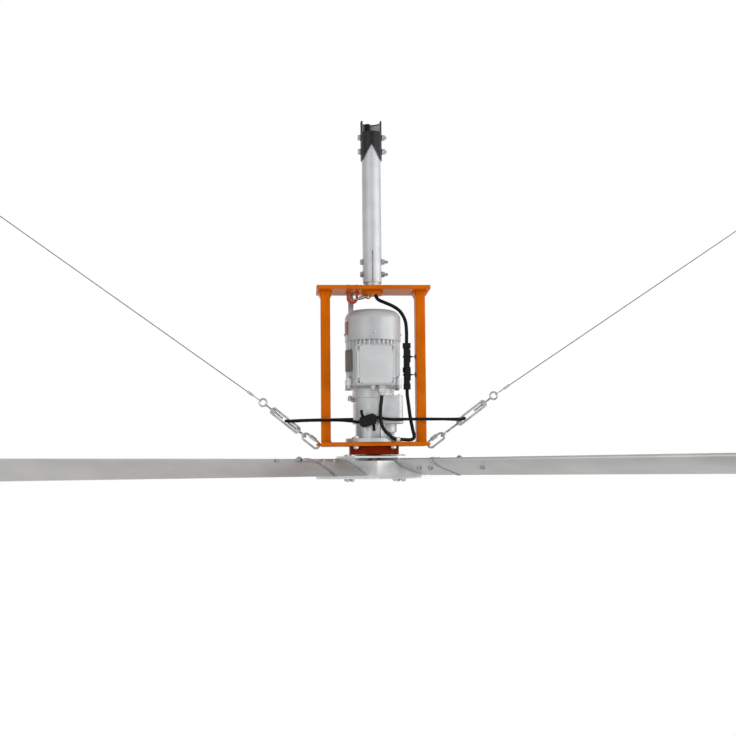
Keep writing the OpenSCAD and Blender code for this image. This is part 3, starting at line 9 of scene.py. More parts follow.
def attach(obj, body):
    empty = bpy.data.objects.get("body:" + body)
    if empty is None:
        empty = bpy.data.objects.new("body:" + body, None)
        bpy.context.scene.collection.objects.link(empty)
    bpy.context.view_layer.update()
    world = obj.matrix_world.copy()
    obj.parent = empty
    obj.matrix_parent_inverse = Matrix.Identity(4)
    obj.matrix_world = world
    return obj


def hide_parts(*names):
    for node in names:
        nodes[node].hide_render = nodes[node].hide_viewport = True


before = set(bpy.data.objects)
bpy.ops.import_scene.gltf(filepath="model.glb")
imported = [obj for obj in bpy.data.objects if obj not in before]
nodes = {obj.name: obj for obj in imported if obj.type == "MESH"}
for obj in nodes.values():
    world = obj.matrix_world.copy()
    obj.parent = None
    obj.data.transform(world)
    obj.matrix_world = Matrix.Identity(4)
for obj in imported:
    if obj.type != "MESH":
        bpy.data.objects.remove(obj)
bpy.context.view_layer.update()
mm = 0.001

# camera, as far away and as turned as the photograph's
cameraSetup = {
    "lens": 58.2, "sensor": 36.0, "clip": (0.05, 60),
    "place": (-0.2224, -3.7434, -1.096),
    "yaw": 3.4, "pitch": 4.85, "roll": 0.5,   # degrees: to the right, upwards, right side lifted
    "shift": -5 / 736,                        # the fan's axis stands five pixels right of the middle
}


def makeCamera(setup):
    yaw, pitch, roll = (math.radians(setup[k]) for k in ("yaw", "pitch", "roll"))
    level = Vector((math.sin(yaw), math.cos(yaw), 0))
    ahead = level * math.cos(pitch) + Vector((0, 0, math.sin(pitch)))
    side = Vector((math.cos(yaw), -math.sin(yaw), 0))
    above = side.cross(ahead)
    right = side * math.cos(roll) - above * math.sin(roll)
    up = side * math.sin(roll) + above * math.cos(roll)
    data = bpy.data.cameras.new("camera")
    data.sensor_width = setup["sensor"]
    data.lens = setup["lens"]
    data.shift_x = setup["shift"]
    data.clip_start, data.clip_end = setup["clip"]
    camera = bpy.data.objects.new("camera", data)
    bpy.context.scene.collection.objects.link(camera)
    turned = Matrix((right, up, -ahead)).transposed().to_4x4()
    camera.matrix_world = Matrix.Translation(setup["place"]) @ turned
    bpy.context.scene.camera = camera


makeCamera(cameraSetup)
print("camera placed")


# an sRGB hex value as linear red, green, blue and alpha
def hexLinear(text):
    parts = [int(text[i:i + 2], 16) / 255 for i in (1, 3, 5)]
    return [v / 12.92 if v <= 0.04045 else ((v + 0.055) / 1.055) ** 2.4 for v in parts] + [1.0]


# A shader node with its settings and links. A key is a socket's place or name, or a property of the node.
def addNode(tree, kind, settings=None, links=None):
    node = tree.nodes.new(kind)
    for key, value in (settings or {}).items():
        if isinstance(key, int) or key in node.inputs:
            node.inputs[key].default_value = value
        else:
            setattr(node, key, value)
    for key, source in (links or {}).items():
        tree.links.new(source, node.inputs[key])
    return node


# 1 for the rays that see the white studio: those of the camera, of gloss and of glass
def seenRays(tree):
    rays = addNode(tree, "ShaderNodeLightPath")
    seen = rays.outputs["Is Camera Ray"]
    for other in ("Is Glossy Ray", "Is Transmission Ray"):
        seen = addNode(tree, "ShaderNodeMath", {"operation": "MAXIMUM"},
                       {0: seen, 1: rays.outputs[other]}).outputs[0]
    return seen


# Finishes. Sizes are in mm: "cloud" is the soft change of tint, "grain" the bumps and "height" their depth,
# "stretch" the length, width and height of a directional pattern, turned by "turn" degrees about Z.
finishes = {
    # gloss powder coat: saturated, a soft skin-like ripple, edges painted a little browner as shade on the
    # rounded corners
    "powderCoatOrange": {"tints": ("#C66304", "#B65602"), "cloud": 90, "roughness": (0.30, 0.42),
                         "grain": 5, "height": 0.05, "edge": "#9A4602", "round": 2.0, "specular": 0.05},
    # the same orange coat on the guard, painted darker and redder as the shade it sits in under the bottom
    # plate
    "powderCoatGuardInShade": {"tints": ("#862402", "#701A00"), "cloud": 60, "roughness": (0.34, 0.46),
                           "grain": 5, "height": 0.05, "edge": "#5A1600", "round": 2.0, "specular": 0.05},
    # orange-red coat on the bent rod
    "powderCoatRed": {"tints": ("#B83A08", "#A93206"), "cloud": 30, "roughness": (0.3, 0.4), "grain": 3,
                      "height": 0.03, "edge": "#7E2404", "round": 0.8, "specular": 0.3},
    # satin black powder coat on steel: deep grey with a broad grey highlight
    "powderCoatBlack": {"tints": ("#0E0F10", "#08090A"), "cloud": 40, "roughness": (0.34, 0.42), "grain": 3,
                        "height": 0.03, "edge": "#2A2C2D", "round": 1.2, "specular": 0.3},
    # the same coat on the sleeve; its bore was masked and stays bare, and is painted pale grey as the light
    # on its lit inner wall
    "powderCoatSleeve": {"tints": ("#0B0C0D", "#060708"), "cloud": 40, "roughness": (0.24, 0.32),
                         "grain": 3, "height": 0.02, "edge": "#26282A", "round": 1.2, "specular": 0.28,
                         "bareLitWithin": 31.0, "bareLitBelow": 11.5, "bareLitBore": "#B4B6B8"},
    # light grey motor enamel, sprayed: even, slightly warm, semi-gloss
    "motorEnamel": {"tints": ("#BBBDBE", "#B1B3B4"), "cloud": 70, "roughness": (0.36, 0.5), "grain": 4,
                    "height": 0.04, "edge": "#9C9C99", "round": 1.5, "coat": 0.15},
    # the same enamel on the pressed sheet of the fan cover, painted darker as shade on the cover
    "enamelOnSheetPaintedDarker": {"tints": ("#ADAFB0", "#A3A5A6"), "cloud": 70, "roughness": (0.34, 0.48), "grain": 4,
                      "height": 0.04, "edge": "#8C8C89", "round": 1.5, "coat": 0.15},
    # the same enamel on the finned casting, painted paler to offset the shade between the fins
    "enamelOnFinsPaintedPaler": {"tints": ("#D8DADB", "#CBCDCE"), "cloud": 50, "roughness": (0.38, 0.52), "grain": 2.5,
                     "height": 0.08, "edge": "#B4B6B7", "round": 1.0, "coat": 0.1},
    # die-cast aluminium, blasted and lacquered: pale grey with a fine sandy skin
    "castAluminium": {"tints": ("#B4B6B7", "#A5A7A8"), "cloud": 45, "roughness": (0.42, 0.58), "grain": 2.5,
                      "height": 0.12, "edge": "#D6D6D4", "round": 2.0, "metallic": 0.35},
    # drawn tube: bright, with faint draw lines along it
    "drawnAluminium": {"tints": ("#B0B1B4", "#A4A6A9"), "cloud": 60, "roughness": (0.46, 0.56), "grain": 1,
                       "height": 0.02, "stretch": (2.5, 2.5, 240), "metallic": 0.5, "round": 0.8},
    # rolled plate with its mill finish: grey, brushed one way, painted paler to offset the shade among the
    # hub's plates and blades
    "rolledAluminiumPaintedPaler": {"tints": ("#D2D3D2", "#BFC1C1"), "cloud": 50, "roughness": (0.34, 0.48), "grain": 1,
                        "height": 0.03, "stretch": (160, 2.5, 2.5), "metallic": 0.7, "round": 0.8},
    # extruded and satin anodised: soft grey with die lines along each blade
    "anodisedBladeA": {"tints": ("#AEADAB", "#A09F9D"), "cloud": 160, "roughness": (0.36, 0.46), "grain": 1,
                       "height": 0.03, "stretch": (420, 4, 4), "turn": 45, "metallic": 0.45, "round": 0.6},
    "anodisedBladeB": {"tints": ("#AEADAB", "#A09F9D"), "cloud": 160, "roughness": (0.36, 0.46), "grain": 1,
                       "height": 0.03, "stretch": (420, 4, 4), "turn": 135, "metallic": 0.45, "round": 0.6},
    # bright zinc plate: cool silver, a little cloudy
    "zincPlate": {"tints": ("#A8AAAC", "#8C8F92"), "cloud": 12, "roughness": (0.34, 0.48), "grain": 2,
                  "height": 0.03, "metallic": 0.8, "round": 0.5},
    # zinc plate on rolled or forged pieces that have been handled: duller
    "zincPlateDull": {"tints": ("#A6A8AA", "#8A8D90"), "cloud": 16, "roughness": (0.32, 0.48), "grain": 2,
                      "height": 0.05, "metallic": 0.9, "round": 0.6},
    # turned and ground steel: fine lathe marks round Z
    "turnedSteel": {"tints": ("#B9BABC", "#A3A5A8"), "cloud": 20, "roughness": (0.2, 0.34), "grain": 1,
                    "height": 0.02, "stretch": (60, 60, 1.2), "metallic": 1.0, "round": 0.5},
    # steel tube heated by the weld, wiped clean: brownish
    "weldedSteel": {"tints": ("#A39C92", "#87807A"), "cloud": 18, "roughness": (0.36, 0.5), "grain": 1,
                    "height": 0.04, "stretch": (60, 60, 1.5), "metallic": 0.8, "round": 0.5},
    # zinc plate passivated yellow, faded to tan, and painted paler to offset the shade the hub's boss sits in
    "chromateZincPaintedPaler": {"tints": ("#CDBBA0", "#B8A488"), "cloud": 14, "roughness": (0.34, 0.46), "grain": 2,
                     "height": 0.03, "metallic": 0.5, "round": 0.8},
    # hobbed gear steel: slightly straw-coloured from hardening, oiled
    "gearSteel": {"tints": ("#A8A294", "#8F897B"), "cloud": 14, "roughness": (0.2, 0.32), "grain": 2,
                  "height": 0.03, "metallic": 1.0, "round": 0.3, "coat": 0.3},
    # laminated electrical sheet: dark, with the sheets' edges showing
    "laminatedSheet": {"tints": ("#6C6E72", "#54565A"), "cloud": 10, "roughness": (0.4, 0.55), "grain": 1,
                       "height": 0.08, "stretch": (60, 60, 1.2), "metallic": 0.8},
    # enamelled copper wire under varnish
    "enamelledCopper": {"tints": ("#A5562A", "#8A4018"), "cloud": 6, "roughness": (0.25, 0.4), "grain": 1.5,
                        "height": 0.25, "metallic": 0.7, "coat": 0.5},
    # nickel-plated brass
    "nickelPlate": {"tints": ("#B6B6B4", "#A2A2A0"), "cloud": 12, "roughness": (0.38, 0.5), "grain": 2,
                    "height": 0.02, "metallic": 0.6, "round": 0.6},
    # ground bearing steel
    "bearingSteel": {"tints": ("#CFD0D2", "#BDBFC1"), "cloud": 18, "roughness": (0.12, 0.22), "grain": 2,
                     "height": 0.01, "metallic": 1.0, "round": 0.4},
    # moulded PBT, cream
    "mouldedCream": {"tints": ("#DCD6C2", "#CFC8B2"), "cloud": 20, "roughness": (0.45, 0.6), "grain": 1.5,
                     "height": 0.03, "round": 0.5},
    # moulded black nylon: matt, with a faint spark-eroded skin
    "mouldedBlack": {"tints": ("#0B0B0C", "#060606"), "cloud": 15, "roughness": (0.34, 0.46), "grain": 1.5,
                     "height": 0.04, "edge": "#26282A", "round": 0.6, "specular": 0.16},
    # moulded grey polypropylene
    "mouldedGrey": {"tints": ("#5C5D5F", "#505153"), "cloud": 25, "roughness": (0.45, 0.6), "grain": 1.5,
                    "height": 0.04, "round": 0.6},
    # black rubber sheath of the leads: soft sheen, a little dusty
    "rubberSheath": {"tints": ("#0A0A0A", "#050505"), "cloud": 25, "roughness": (0.42, 0.56), "grain": 1.5,
                     "height": 0.03, "specular": 0.14},
    # nitrile lip seal
    "nitrileRubber": {"tints": ("#1A1A1A", "#121212"), "cloud": 15, "roughness": (0.5, 0.65), "grain": 1.5,
                      "height": 0.03},
    # galvanised strands: grey, dull
    "galvanisedWire": {"tints": ("#686A6C", "#4E5153"), "cloud": 5, "roughness": (0.5, 0.62), "grain": 1,
                       "height": 0.02, "metallic": 0.6},
    # plaited polyester cord, black
    "plaitedCord": {"tints": ("#0C0C0C", "#050505"), "cloud": 4, "roughness": (0.7, 0.85), "grain": 1.2,
                    "height": 0.15, "specular": 0.12, "sheen": 0.04},
    # bare rating plate: brushed, grey, nothing on it
    "barePlate": {"tints": ("#737674", "#646765"), "cloud": 20, "roughness": (0.35, 0.5), "grain": 1,
                  "height": 0.02, "stretch": (1.5, 1.5, 40), "metallic": 0.6, "round": 0.4},
    # printed vinyl left plain, faded red
    "plainVinyl": {"tints": ("#87452F", "#7A3B27"), "cloud": 12, "roughness": (0.4, 0.5), "grain": 2,
                   "height": 0.01},
    # red-brown nylon of the post's ties
    "mouldedRed": {"tints": ("#7E2A16", "#6E2210"), "cloud": 10, "roughness": (0.4, 0.52), "grain": 1.5,
                   "height": 0.03, "round": 0.4, "specular": 0.3},
    # nylon tie, pale
    "naturalNylon": {"tints": ("#C9C5B8", "#B9B5A8"), "cloud": 8, "roughness": (0.4, 0.5), "grain": 1.5,
                     "height": 0.02, "round": 0.4},
}

# What all finishes share: the detail and range of both noises, and how strongly they show
patterns = {
    "cloudDetail": 3.0, "cloudRange": (0.35, 0.65), "grainDetail": 2.0, "grainRange": (0.3, 0.7),
    "streakTint": (0.94, 1.04), "bump": 0.6, "coatRoughness": 0.15, "bevelSamples": 4,
    # The edge tint: a darker one is painted shade on the rounded edges, a lighter one is wear.
    "edgeTurn": (0.99, 0.80), "edgeShare": 0.8,   # how far a normal turns at a rubbed edge, as a cosine
}


def startMaterial(name):
    material = bpy.data.materials.new(name)
    material.use_nodes = True
    tree = material.node_tree
    tree.nodes.clear()
    return material, tree, addNode(tree, "ShaderNodeTexCoord").outputs["Object"]


def addNoise(tree, place, scale, detail):
    noise = addNode(tree, "ShaderNodeTexNoise", {"Scale": scale, "Detail": detail}, {"Vector": place})
    return noise.outputs["Fac"]


def addRange(tree, value, given, wanted=(0.0, 1.0)):
    spread = addNode(tree, "ShaderNodeMapRange", {
        "From Min": given[0], "From Max": given[1], "To Min": wanted[0], "To Max": wanted[1]},
        {"Value": value})
    return spread.outputs["Result"]


# the colour where share is 0, and a plain tint where it is 1
def mixTint(tree, colour, tint, share):
    mixed = addNode(tree, "ShaderNodeMix", {"data_type": "RGBA", 7: hexLinear(tint)}, {0: share, 6: colour})
    return mixed.outputs[2]


# distance from the Z axis
def addReach(tree, place):
    flat = addNode(tree, "ShaderNodeVectorMath", {"operation": "MULTIPLY", 1: (1, 1, 0)}, {0: place})
    return addNode(tree, "ShaderNodeVectorMath", {"operation": "LENGTH"},
                   {0: flat.outputs["Vector"]}).outputs["Value"]


def makeFinish(name, look):
    material, tree, place = startMaterial(name)
    grainDetail = patterns["grainDetail"]
    cloud = addNoise(tree, place, 1 / mm / look["cloud"], patterns["cloudDetail"])
    cloud = addRange(tree, cloud, patterns["cloudRange"])
    first, second = look["tints"]
    colour = addNode(tree, "ShaderNodeMix", {"data_type": "RGBA", 6: hexLinear(first), 7: hexLinear(second)},
                     {0: cloud}).outputs[2]
    if "stretch" in look:
        turn = math.radians(look.get("turn", 0))
        lie = addNode(tree, "ShaderNodeMapping", {
            "vector_type": "TEXTURE", "Rotation": (0, 0, turn), "Scale": [v * mm for v in look["stretch"]]},
            {"Vector": place}).outputs["Vector"]
        grain = addNoise(tree, lie, 1.0, grainDetail)
        streak = addRange(tree, grain, patterns["grainRange"], patterns["streakTint"])
        colour = addNode(tree, "ShaderNodeVectorMath", {"operation": "SCALE"},
                         {0: colour, "Scale": streak}).outputs["Vector"]
    else:
        grain = addNoise(tree, place, 1 / mm / look["grain"], grainDetail)
    normal = None
    if "round" in look:
        # rounds the sharp edges of the solids as paint, tumbling or a file does
        normal = addNode(tree, "ShaderNodeBevel", {
            "samples": patterns["bevelSamples"], "Radius": look["round"] * mm}).outputs["Normal"]
    # tints the rounded edges: a darker edge tint is painted shade of the rounded corners, a lighter one is
    # wear
    if "edge" in look:
        flat = addNode(tree, "ShaderNodeNewGeometry").outputs["Normal"]
        along = addNode(tree, "ShaderNodeVectorMath", {"operation": "DOT_PRODUCT"}, {0: normal, 1: flat})
        edgeShadeAndWear = addRange(tree, along.outputs["Value"], patterns["edgeTurn"], (0.0, patterns["edgeShare"]))
        colour = mixTint(tree, colour, look["edge"], edgeShadeAndWear)
    # the sleeve's bore in pale grey: bare metal, and painted light on the lit inner wall
    if "bareLitWithin" in look:
        within = addNode(tree, "ShaderNodeMath", {"operation": "LESS_THAN", 1: look["bareLitWithin"] * mm},
                         {0: addReach(tree, place)})
        height = addNode(tree, "ShaderNodeSeparateXYZ", {}, {"Vector": place}).outputs["Z"]
        below = addNode(tree, "ShaderNodeMath", {"operation": "LESS_THAN", 1: look["bareLitBelow"] * mm},
                        {0: height})
        bareLitBore = addNode(tree, "ShaderNodeMath", {"operation": "MULTIPLY"},
                       {0: within.outputs["Value"], 1: below.outputs["Value"]})
        colour = mixTint(tree, colour, look["bareLitBore"], bareLitBore.outputs["Value"])
    bump = addNode(tree, "ShaderNodeBump", {"Strength": patterns["bump"], "Distance": look["height"] * mm},
                   {"Height": grain})
    if normal:
        tree.links.new(normal, bump.inputs["Normal"])
    shader = addNode(tree, "ShaderNodeBsdfPrincipled", {
        "Metallic": look.get("metallic", 0.0), "Coat Weight": look.get("coat", 0.0),
        "Coat Roughness": patterns["coatRoughness"], "Sheen Weight": look.get("sheen", 0.0),
        "Specular IOR Level": look.get("specular", 0.5)}, {
        "Base Color": colour, "Roughness": addRange(tree, grain, patterns["grainRange"], look["roughness"]),
        "Normal": bump.outputs["Normal"]})
    addNode(tree, "ShaderNodeOutputMaterial", {}, {"Surface": shader.outputs["BSDF"]})
    return material


made = {name: makeFinish(name, look) for name, look in finishes.items()}
print("finishes made:", len(made))

# The finish of each CAD node that stays in view. The rest are replaced by pieces made below.
nodeFinishes = {
    "powderCoatOrange": ["spigot_nut", "top_plate", "left_post", "right_post", "bottom_plate"],
    "powderCoatGuardInShade": ["shaft_guard"],
    "powderCoatRed": ["safety_ubolt"],
    "powderCoatBlack": ["hub_flange"],
    "powderCoatSleeve": ["hanger_sleeve"],
    "enamelOnSheetPaintedDarker": ["fan_cover"],
    "motorEnamel": ["terminal_box", "terminal_lid"],
    "enamelOnFinsPaintedPaler": ["motor_housing", "upper_end_shield"],
    "castAluminium": ["motor_adapter", "gearbox_housing"],
    "drawnAluminium": ["down_tube"],
    "rolledAluminiumPaintedPaler": ["hub_top_plate", "hub_bottom_plate", "hub_wedges", "blade_arms"],
    "anodisedBladeA": ["blade_1", "blade_3"],
    "anodisedBladeB": ["blade_2", "blade_4"],
    "zincPlate": ["safety_link", "quick_links"],
    "zincPlateDull": ["motor_strap", "turnbuckle_bodies", "guy_fittings", "blade_straps"],
    "turnedSteel": ["motor_shaft", "layshaft", "output_shaft"],
    "weldedSteel": ["tube_spigot"],
    "chromateZincPaintedPaler": ["hub_retainer"],
    "gearSteel": ["layshaft_gear", "output_gear"],
    "laminatedSheet": ["stator_core", "rotor_core"],
    "enamelledCopper": ["stator_windings"],
    "nickelPlate": ["cable_gland"],
    "bearingSteel": ["ball_bearings"],
    "mouldedCream": ["terminal_block"],
    "mouldedBlack": ["lead_connectors", "rope_lock"],
    "mouldedGrey": ["cooling_fan", "tip_caps"],
    "nitrileRubber": ["output_seal"],
}
for finishName, members in nodeFinishes.items():
    for nodeName in members:
        nodes[nodeName].data.materials.clear()
        nodes[nodeName].data.materials.append(made[finishName])


def addPiece(name, mesh, body, finishName, stands=()):
    piece = bpy.data.objects.new(name, mesh)
    bpy.context.scene.collection.objects.link(piece)
    mesh.materials.clear()
    mesh.materials.append(made[finishName])
    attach(piece, body)
    if stands:
        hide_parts(*stands)
    return piece


# Cords: the same routes as the solids. Corners in mm become a smooth line in metres.
def smoothRoute(points, steps=8):   # steps from each corner to the next
    corners = [Vector(p) for p in points]
    last = len(corners) - 1
    out = []
    for i in range(last):
        a, b, c, d = (corners[max(0, min(last, i + k))] for k in (-1, 0, 1, 2))
        for j in range(steps):
            t = j / steps
            out.append(0.5 * (2 * b + (c - a) * t + (2 * a - 5 * b + 4 * c - d) * t * t
                              + (3 * b - a - 3 * c + d) * t * t * t))
    return [p * mm for p in out + [corners[last]]]


# the same line in even steps, and its length
def evenRoute(points, step):
    lengths = [0.0]
    for a, b in zip(points, points[1:]):
        lengths.append(lengths[-1] + (b - a).length)
    count = max(2, round(lengths[-1] / step))
    out, i = [], 0
    for k in range(count + 1):
        want = lengths[-1] * k / count
        while i < len(lengths) - 2 and lengths[i + 1] < want:
            i += 1
        span = lengths[i + 1] - lengths[i]
        out.append(points[i].lerp(points[i + 1], (want - lengths[i]) / span))
    return out, lengths[-1]


# A tube along a route. Lobes and lay, the length of one full turn in mm, make the strands of a rope.
def cordMesh(name, points, diameter, sides, lobes=0, layMm=0.0, depth=0.0, weldMm=0.001):
    ringCurve = bpy.data.curves.new(name + "Ring", "CURVE")
    ringCurve.dimensions = "2D"
    ring = ringCurve.splines.new("POLY")
    ring.points.add(sides - 1)
    ring.use_cyclic_u = True
    for k, point in enumerate(ring.points):
        angle = 2 * math.pi * k / sides
        reach = diameter / 2 * (1 - depth * (0.5 - 0.5 * math.cos(lobes * angle)) if lobes else 1)
        point.co = (reach * math.cos(angle), reach * math.sin(angle), 0, 1)
    ringObject = bpy.data.objects.new(name + "Ring", ringCurve)
    curve = bpy.data.curves.new(name, "CURVE")
    curve.dimensions = "3D"
    curve.twist_mode = "MINIMUM"
    curve.bevel_mode = "OBJECT"
    curve.bevel_object = ringObject
    curve.use_fill_caps = True
    line = curve.splines.new("POLY")
    line.points.add(len(points) - 1)
    run = 0.0
    for k, (point, place) in enumerate(zip(line.points, points)):
        if k:
            run += (place - points[k - 1]).length
        point.co = (*place, 1)
        point.tilt = 2 * math.pi * run / (layMm * mm) if layMm else 0.0
    holder = bpy.data.objects.new(name, curve)
    for passing in (ringObject, holder):
        bpy.context.scene.collection.objects.link(passing)
    mesh = bpy.data.meshes.new_from_object(holder.evaluated_get(bpy.context.evaluated_depsgraph_get()))
    mesh.name = name
    for passing in (holder, ringObject):
        bpy.data.objects.remove(passing)
    skin = bmesh.new()
    skin.from_mesh(mesh)
    bmesh.ops.remove_doubles(skin, verts=skin.verts, dist=weldMm * mm)
    bmesh.ops.recalc_face_normals(skin, faces=skin.faces)
    skin.to_mesh(mesh)
    skin.free()
    mesh.polygons.foreach_set("use_smooth", [len(p.vertices) < 5 for p in mesh.polygons])   # all but the ends
    return mesh


leads = {
    "diameter": 0.011, "sides": 24, "step": 0.004,
    "supply": [
        (-10, 15.5, -15), (-10, 15.5, -60), (-10, 15.5, -150), (-10, 15.5, -240), (-10, 15.5, -330),
        (-10, 14, -390), (-9, 12.5, -430), (-9, 12.5, -478), (-6, 10.5, -500), (6, 2.5, -524),
        (11, 0, -538), (11.5, -1, -550), (20, -2, -561), (40, -3, -570), (66, -4, -582),
        (88, -5, -599), (103, -5, -627), (107, -5, -658), (107, -5, -688), (107, -5, -700)],
    "motor": [
        (107, -5, -847.3), (107, -5, -855), (107.5, -7, -868), (110, -14, -893), (114, -28, -936),
        (120, -44, -976), (123, -55, -994), (119, -61, -1004), (108, -64, -1007), (94, -67, -1006.5),
        (78, -71.5, -1005.7), (62, -77, -1004.5), (45, -85, -993), (26, -95, -974), (18, -102, -955),
        (15, -107, -930), (16, -112, -904), (18, -115, -886), (19, -115, -874), (19, -115, -860)],
}


def makeLead(name, points, node):
    route, length = evenRoute(smoothRoute(points), leads["step"])
    mesh = cordMesh(name, route, leads["diameter"], leads["sides"])
    lead = addPiece(name, mesh, "root", "rubberSheath", [node])


makeLead("supplyLead", leads["supply"], "supply_lead")
makeLead("motorLead", leads["motor"], "motor_lead")

tieRope = {
    "diameter": 0.0096, "sides": 16, "step": 0.0022, "lobes": 4, "layMm": 24, "depth": 0.05,
    "route": [
        (-42, -88, -915), (-40, -88, -929), (-33, -88, -941), (-14, -88, -942), (8, -86, -938),
        (32, -81, -942), (60, -82, -944), (110, -68, -943), (170, -44, -942), (225, -26, -942),
        (256, -18, -943), (279, -12, -942), (287, -6, -939.8), (289, 0, -938.2), (287, 6, -938.5),
        (279, 12, -939.5), (256, 18, -940), (225, 26, -939.5), (170, 43, -939), (110, 63, -937.5),
        (58, 79, -936), (0, 80, -935.5), (-58, 79, -936), (-110, 63, -937.5), (-170, 43, -939),
        (-215, 27, -940.5), (-246, 16, -942), (-265, 11, -943.5), (-273, 6, -944), (-275, 0, -943.5),
        (-273, -6, -944.5), (-265, -11, -945), (-246, -16, -945), (-215, -27, -944), (-170, -43, -944),
        (-110, -63, -945), (-70, -77, -949), (-48, -80, -952), (-24, -80, -947), (-9, -80, -950),
        (-4, -80, -962), (-3, -80, -979)],
}


def makeTieRope():
    ropeRoute, ropeLength = evenRoute(smoothRoute(tieRope["route"]), tieRope["step"])
    shape = (tieRope[k] for k in ("diameter", "sides", "lobes", "layMm", "depth"))
    rope = addPiece("tieRope", cordMesh("tieRope", ropeRoute, *shape), "root", "plaitedCord",
                    ["tie_rope"])


makeTieRope()

# Guy wires, from each ferrule to its ceiling eye. Angles in degrees, lengths on the way in mm.
guys = {
    "diameter": 0.0032, "sides": 18, "step": 0.002, "strands": 6, "layMm": 24, "depth": 0.16,
    "linkX": 182, "lugZ": -1019, "wireStart": 60,
    "left": {"way": -1, "tackle": 39, "eyeAt": 212, "wire": 35.7, "reach": 1036},
    "right": {"way": 1, "tackle": 37, "eyeAt": 252, "wire": 33.5, "reach": 992},
}


def guyRoute(side):
    tackle, wire = math.radians(side["tackle"]), math.radians(side["wire"])
    up = Vector((math.cos(tackle), 0, math.sin(tackle)))
    eye = Vector((guys["linkX"], 0, guys["lugZ"])) + up * side["eyeAt"]
    along = Vector((math.cos(wire), 0, math.sin(wire)))
    ends = [eye + along * guys["wireStart"], eye + along * side["reach"]]
    return [Vector((side["way"] * p.x, 0, p.z)) * mm for p in ends]


def makeGuyWire(sideName):
    route, length = evenRoute(guyRoute(guys[sideName]), guys["step"])
    name = "guyWire" + sideName.capitalize()
    mesh = cordMesh(name, route, *(guys[k] for k in ("diameter", "sides", "strands", "layMm", "depth")))
    wire = addPiece(name, mesh, "root", "galvanisedWire", ["guy_cable_" + sideName])


makeGuyWire("left")
makeGuyWire("right")
print("leads, rope and guy wires made")


# Small hardware, modelled in mm: each shape is made at the origin, put in its place and joined to its piece.
# A shape is turned about X, then Y, then Z, in degrees, and moved to its place.
def placed(place, turn=(0, 0, 0)):
    aboutX, aboutY, aboutZ = (Matrix.Rotation(math.radians(t), 4, axis) for t, axis in zip(turn, "XYZ"))
    return Matrix.Translation(place) @ aboutZ @ aboutY @ aboutX


def joinShape(piece, shape, matrix=Matrix()):
    shape.transform(matrix)
    passing = bpy.data.meshes.new("shape")
    shape.to_mesh(passing)
    shape.free()
    piece.from_mesh(passing)
    bpy.data.meshes.remove(passing)


def finishMesh(name, piece, sharpDegrees=32):
    bmesh.ops.recalc_face_normals(piece, faces=piece.faces)
    bmesh.ops.scale(piece, vec=(mm, mm, mm), verts=piece.verts)
    mesh = bpy.data.meshes.new(name)
    piece.to_mesh(mesh)
    piece.free()
    mesh.polygons.foreach_set("use_smooth", [True] * len(mesh.polygons))
    mesh.set_sharp_from_angle(angle=math.radians(sharpDegrees))
    return mesh


def pick(geom, kind):
    return [g for g in geom if isinstance(g, kind)]


# Sides of whatever is turned, of wire and of threads. A wire has a ring every so many degrees, a thread so
# many in each pitch, and both a least number of steps. The thread's depth and end are shares of its pitch.
turning = {"sides": 24, "weld": 0.001, "wireSides": 16, "wireDegrees": 9, "wireLeast": 12,
           "threadSides": 20, "threadSteps": 5, "threadLeast": 4, "threadDepth": 0.55, "threadEnd": 0.5}


def spinAll(shape, degrees, steps, merge=False):
    bmesh.ops.spin(shape, geom=shape.verts[:] + shape.edges[:] + shape.faces[:], cent=(0, 0, 0),
                   axis=(0, 0, 1), angle=math.radians(degrees), steps=steps, use_merge=merge)


def bevelEdges(shape, edges, offset, segments):
    bmesh.ops.bevel(shape, geom=edges, offset=offset, segments=segments, profile=0.5, affect="EDGES",
                    material=-1)


# A profile of radius and height, turned about Z. The profile of a ring closes on itself.
def addTurned(piece, matrix, profile, ring=False):
    shape = bmesh.new()
    points = [shape.verts.new((radius, 0, z)) for radius, z in profile]
    for pair in zip(points, points[1:] + points[:1] if ring else points[1:]):
        shape.edges.new(pair)
    spinAll(shape, 360, turning["sides"], True)
    bmesh.ops.remove_doubles(shape, verts=shape.verts, dist=turning["weld"])
    joinShape(piece, shape, matrix)


def addDisc(piece, matrix, radius, low, high, edge=0.3):
    addTurned(piece, matrix, [(0, low), (radius - edge, low), (radius, low + edge), (radius, high - edge),
                              (radius - edge, high), (0, high)])


# A hexagon whose corners are turned down to a cone at one face: the round's share of the flats, and the slope
hexHead = {"turned": 0.47, "cone": 0.577}


def addHex(piece, matrix, flats, low, high, turnedTop=True):
    shape = bmesh.new()
    radius = hexHead["turned"] * flats
    bmesh.ops.create_circle(shape, cap_ends=True, segments=turning["sides"], radius=radius)
    rim = bmesh.ops.extrude_edge_only(shape, edges=shape.edges[:])["geom"]
    for vert in pick(rim, bmesh.types.BMVert):
        angle = math.atan2(vert.co.y, vert.co.x)
        reach = flats / 2 / math.cos((angle + math.pi / 6) % (math.pi / 3) - math.pi / 6)
        vert.co = (reach * math.cos(angle), reach * math.sin(angle), (radius - reach) * hexHead["cone"])
    side = bmesh.ops.extrude_edge_only(shape, edges=pick(rim, bmesh.types.BMEdge))["geom"]
    for vert in pick(side, bmesh.types.BMVert):
        vert.co.z = low - high
    seat = bmesh.ops.extrude_edge_only(shape, edges=pick(side, bmesh.types.BMEdge))["geom"]
    bmesh.ops.pointmerge(shape, verts=pick(seat, bmesh.types.BMVert), merge_co=(0, 0, low - high))
    lie = placed((0, 0, high)) if turnedTop else placed((0, 0, low), (180, 0, 0))
    joinShape(piece, shape, matrix @ lie)


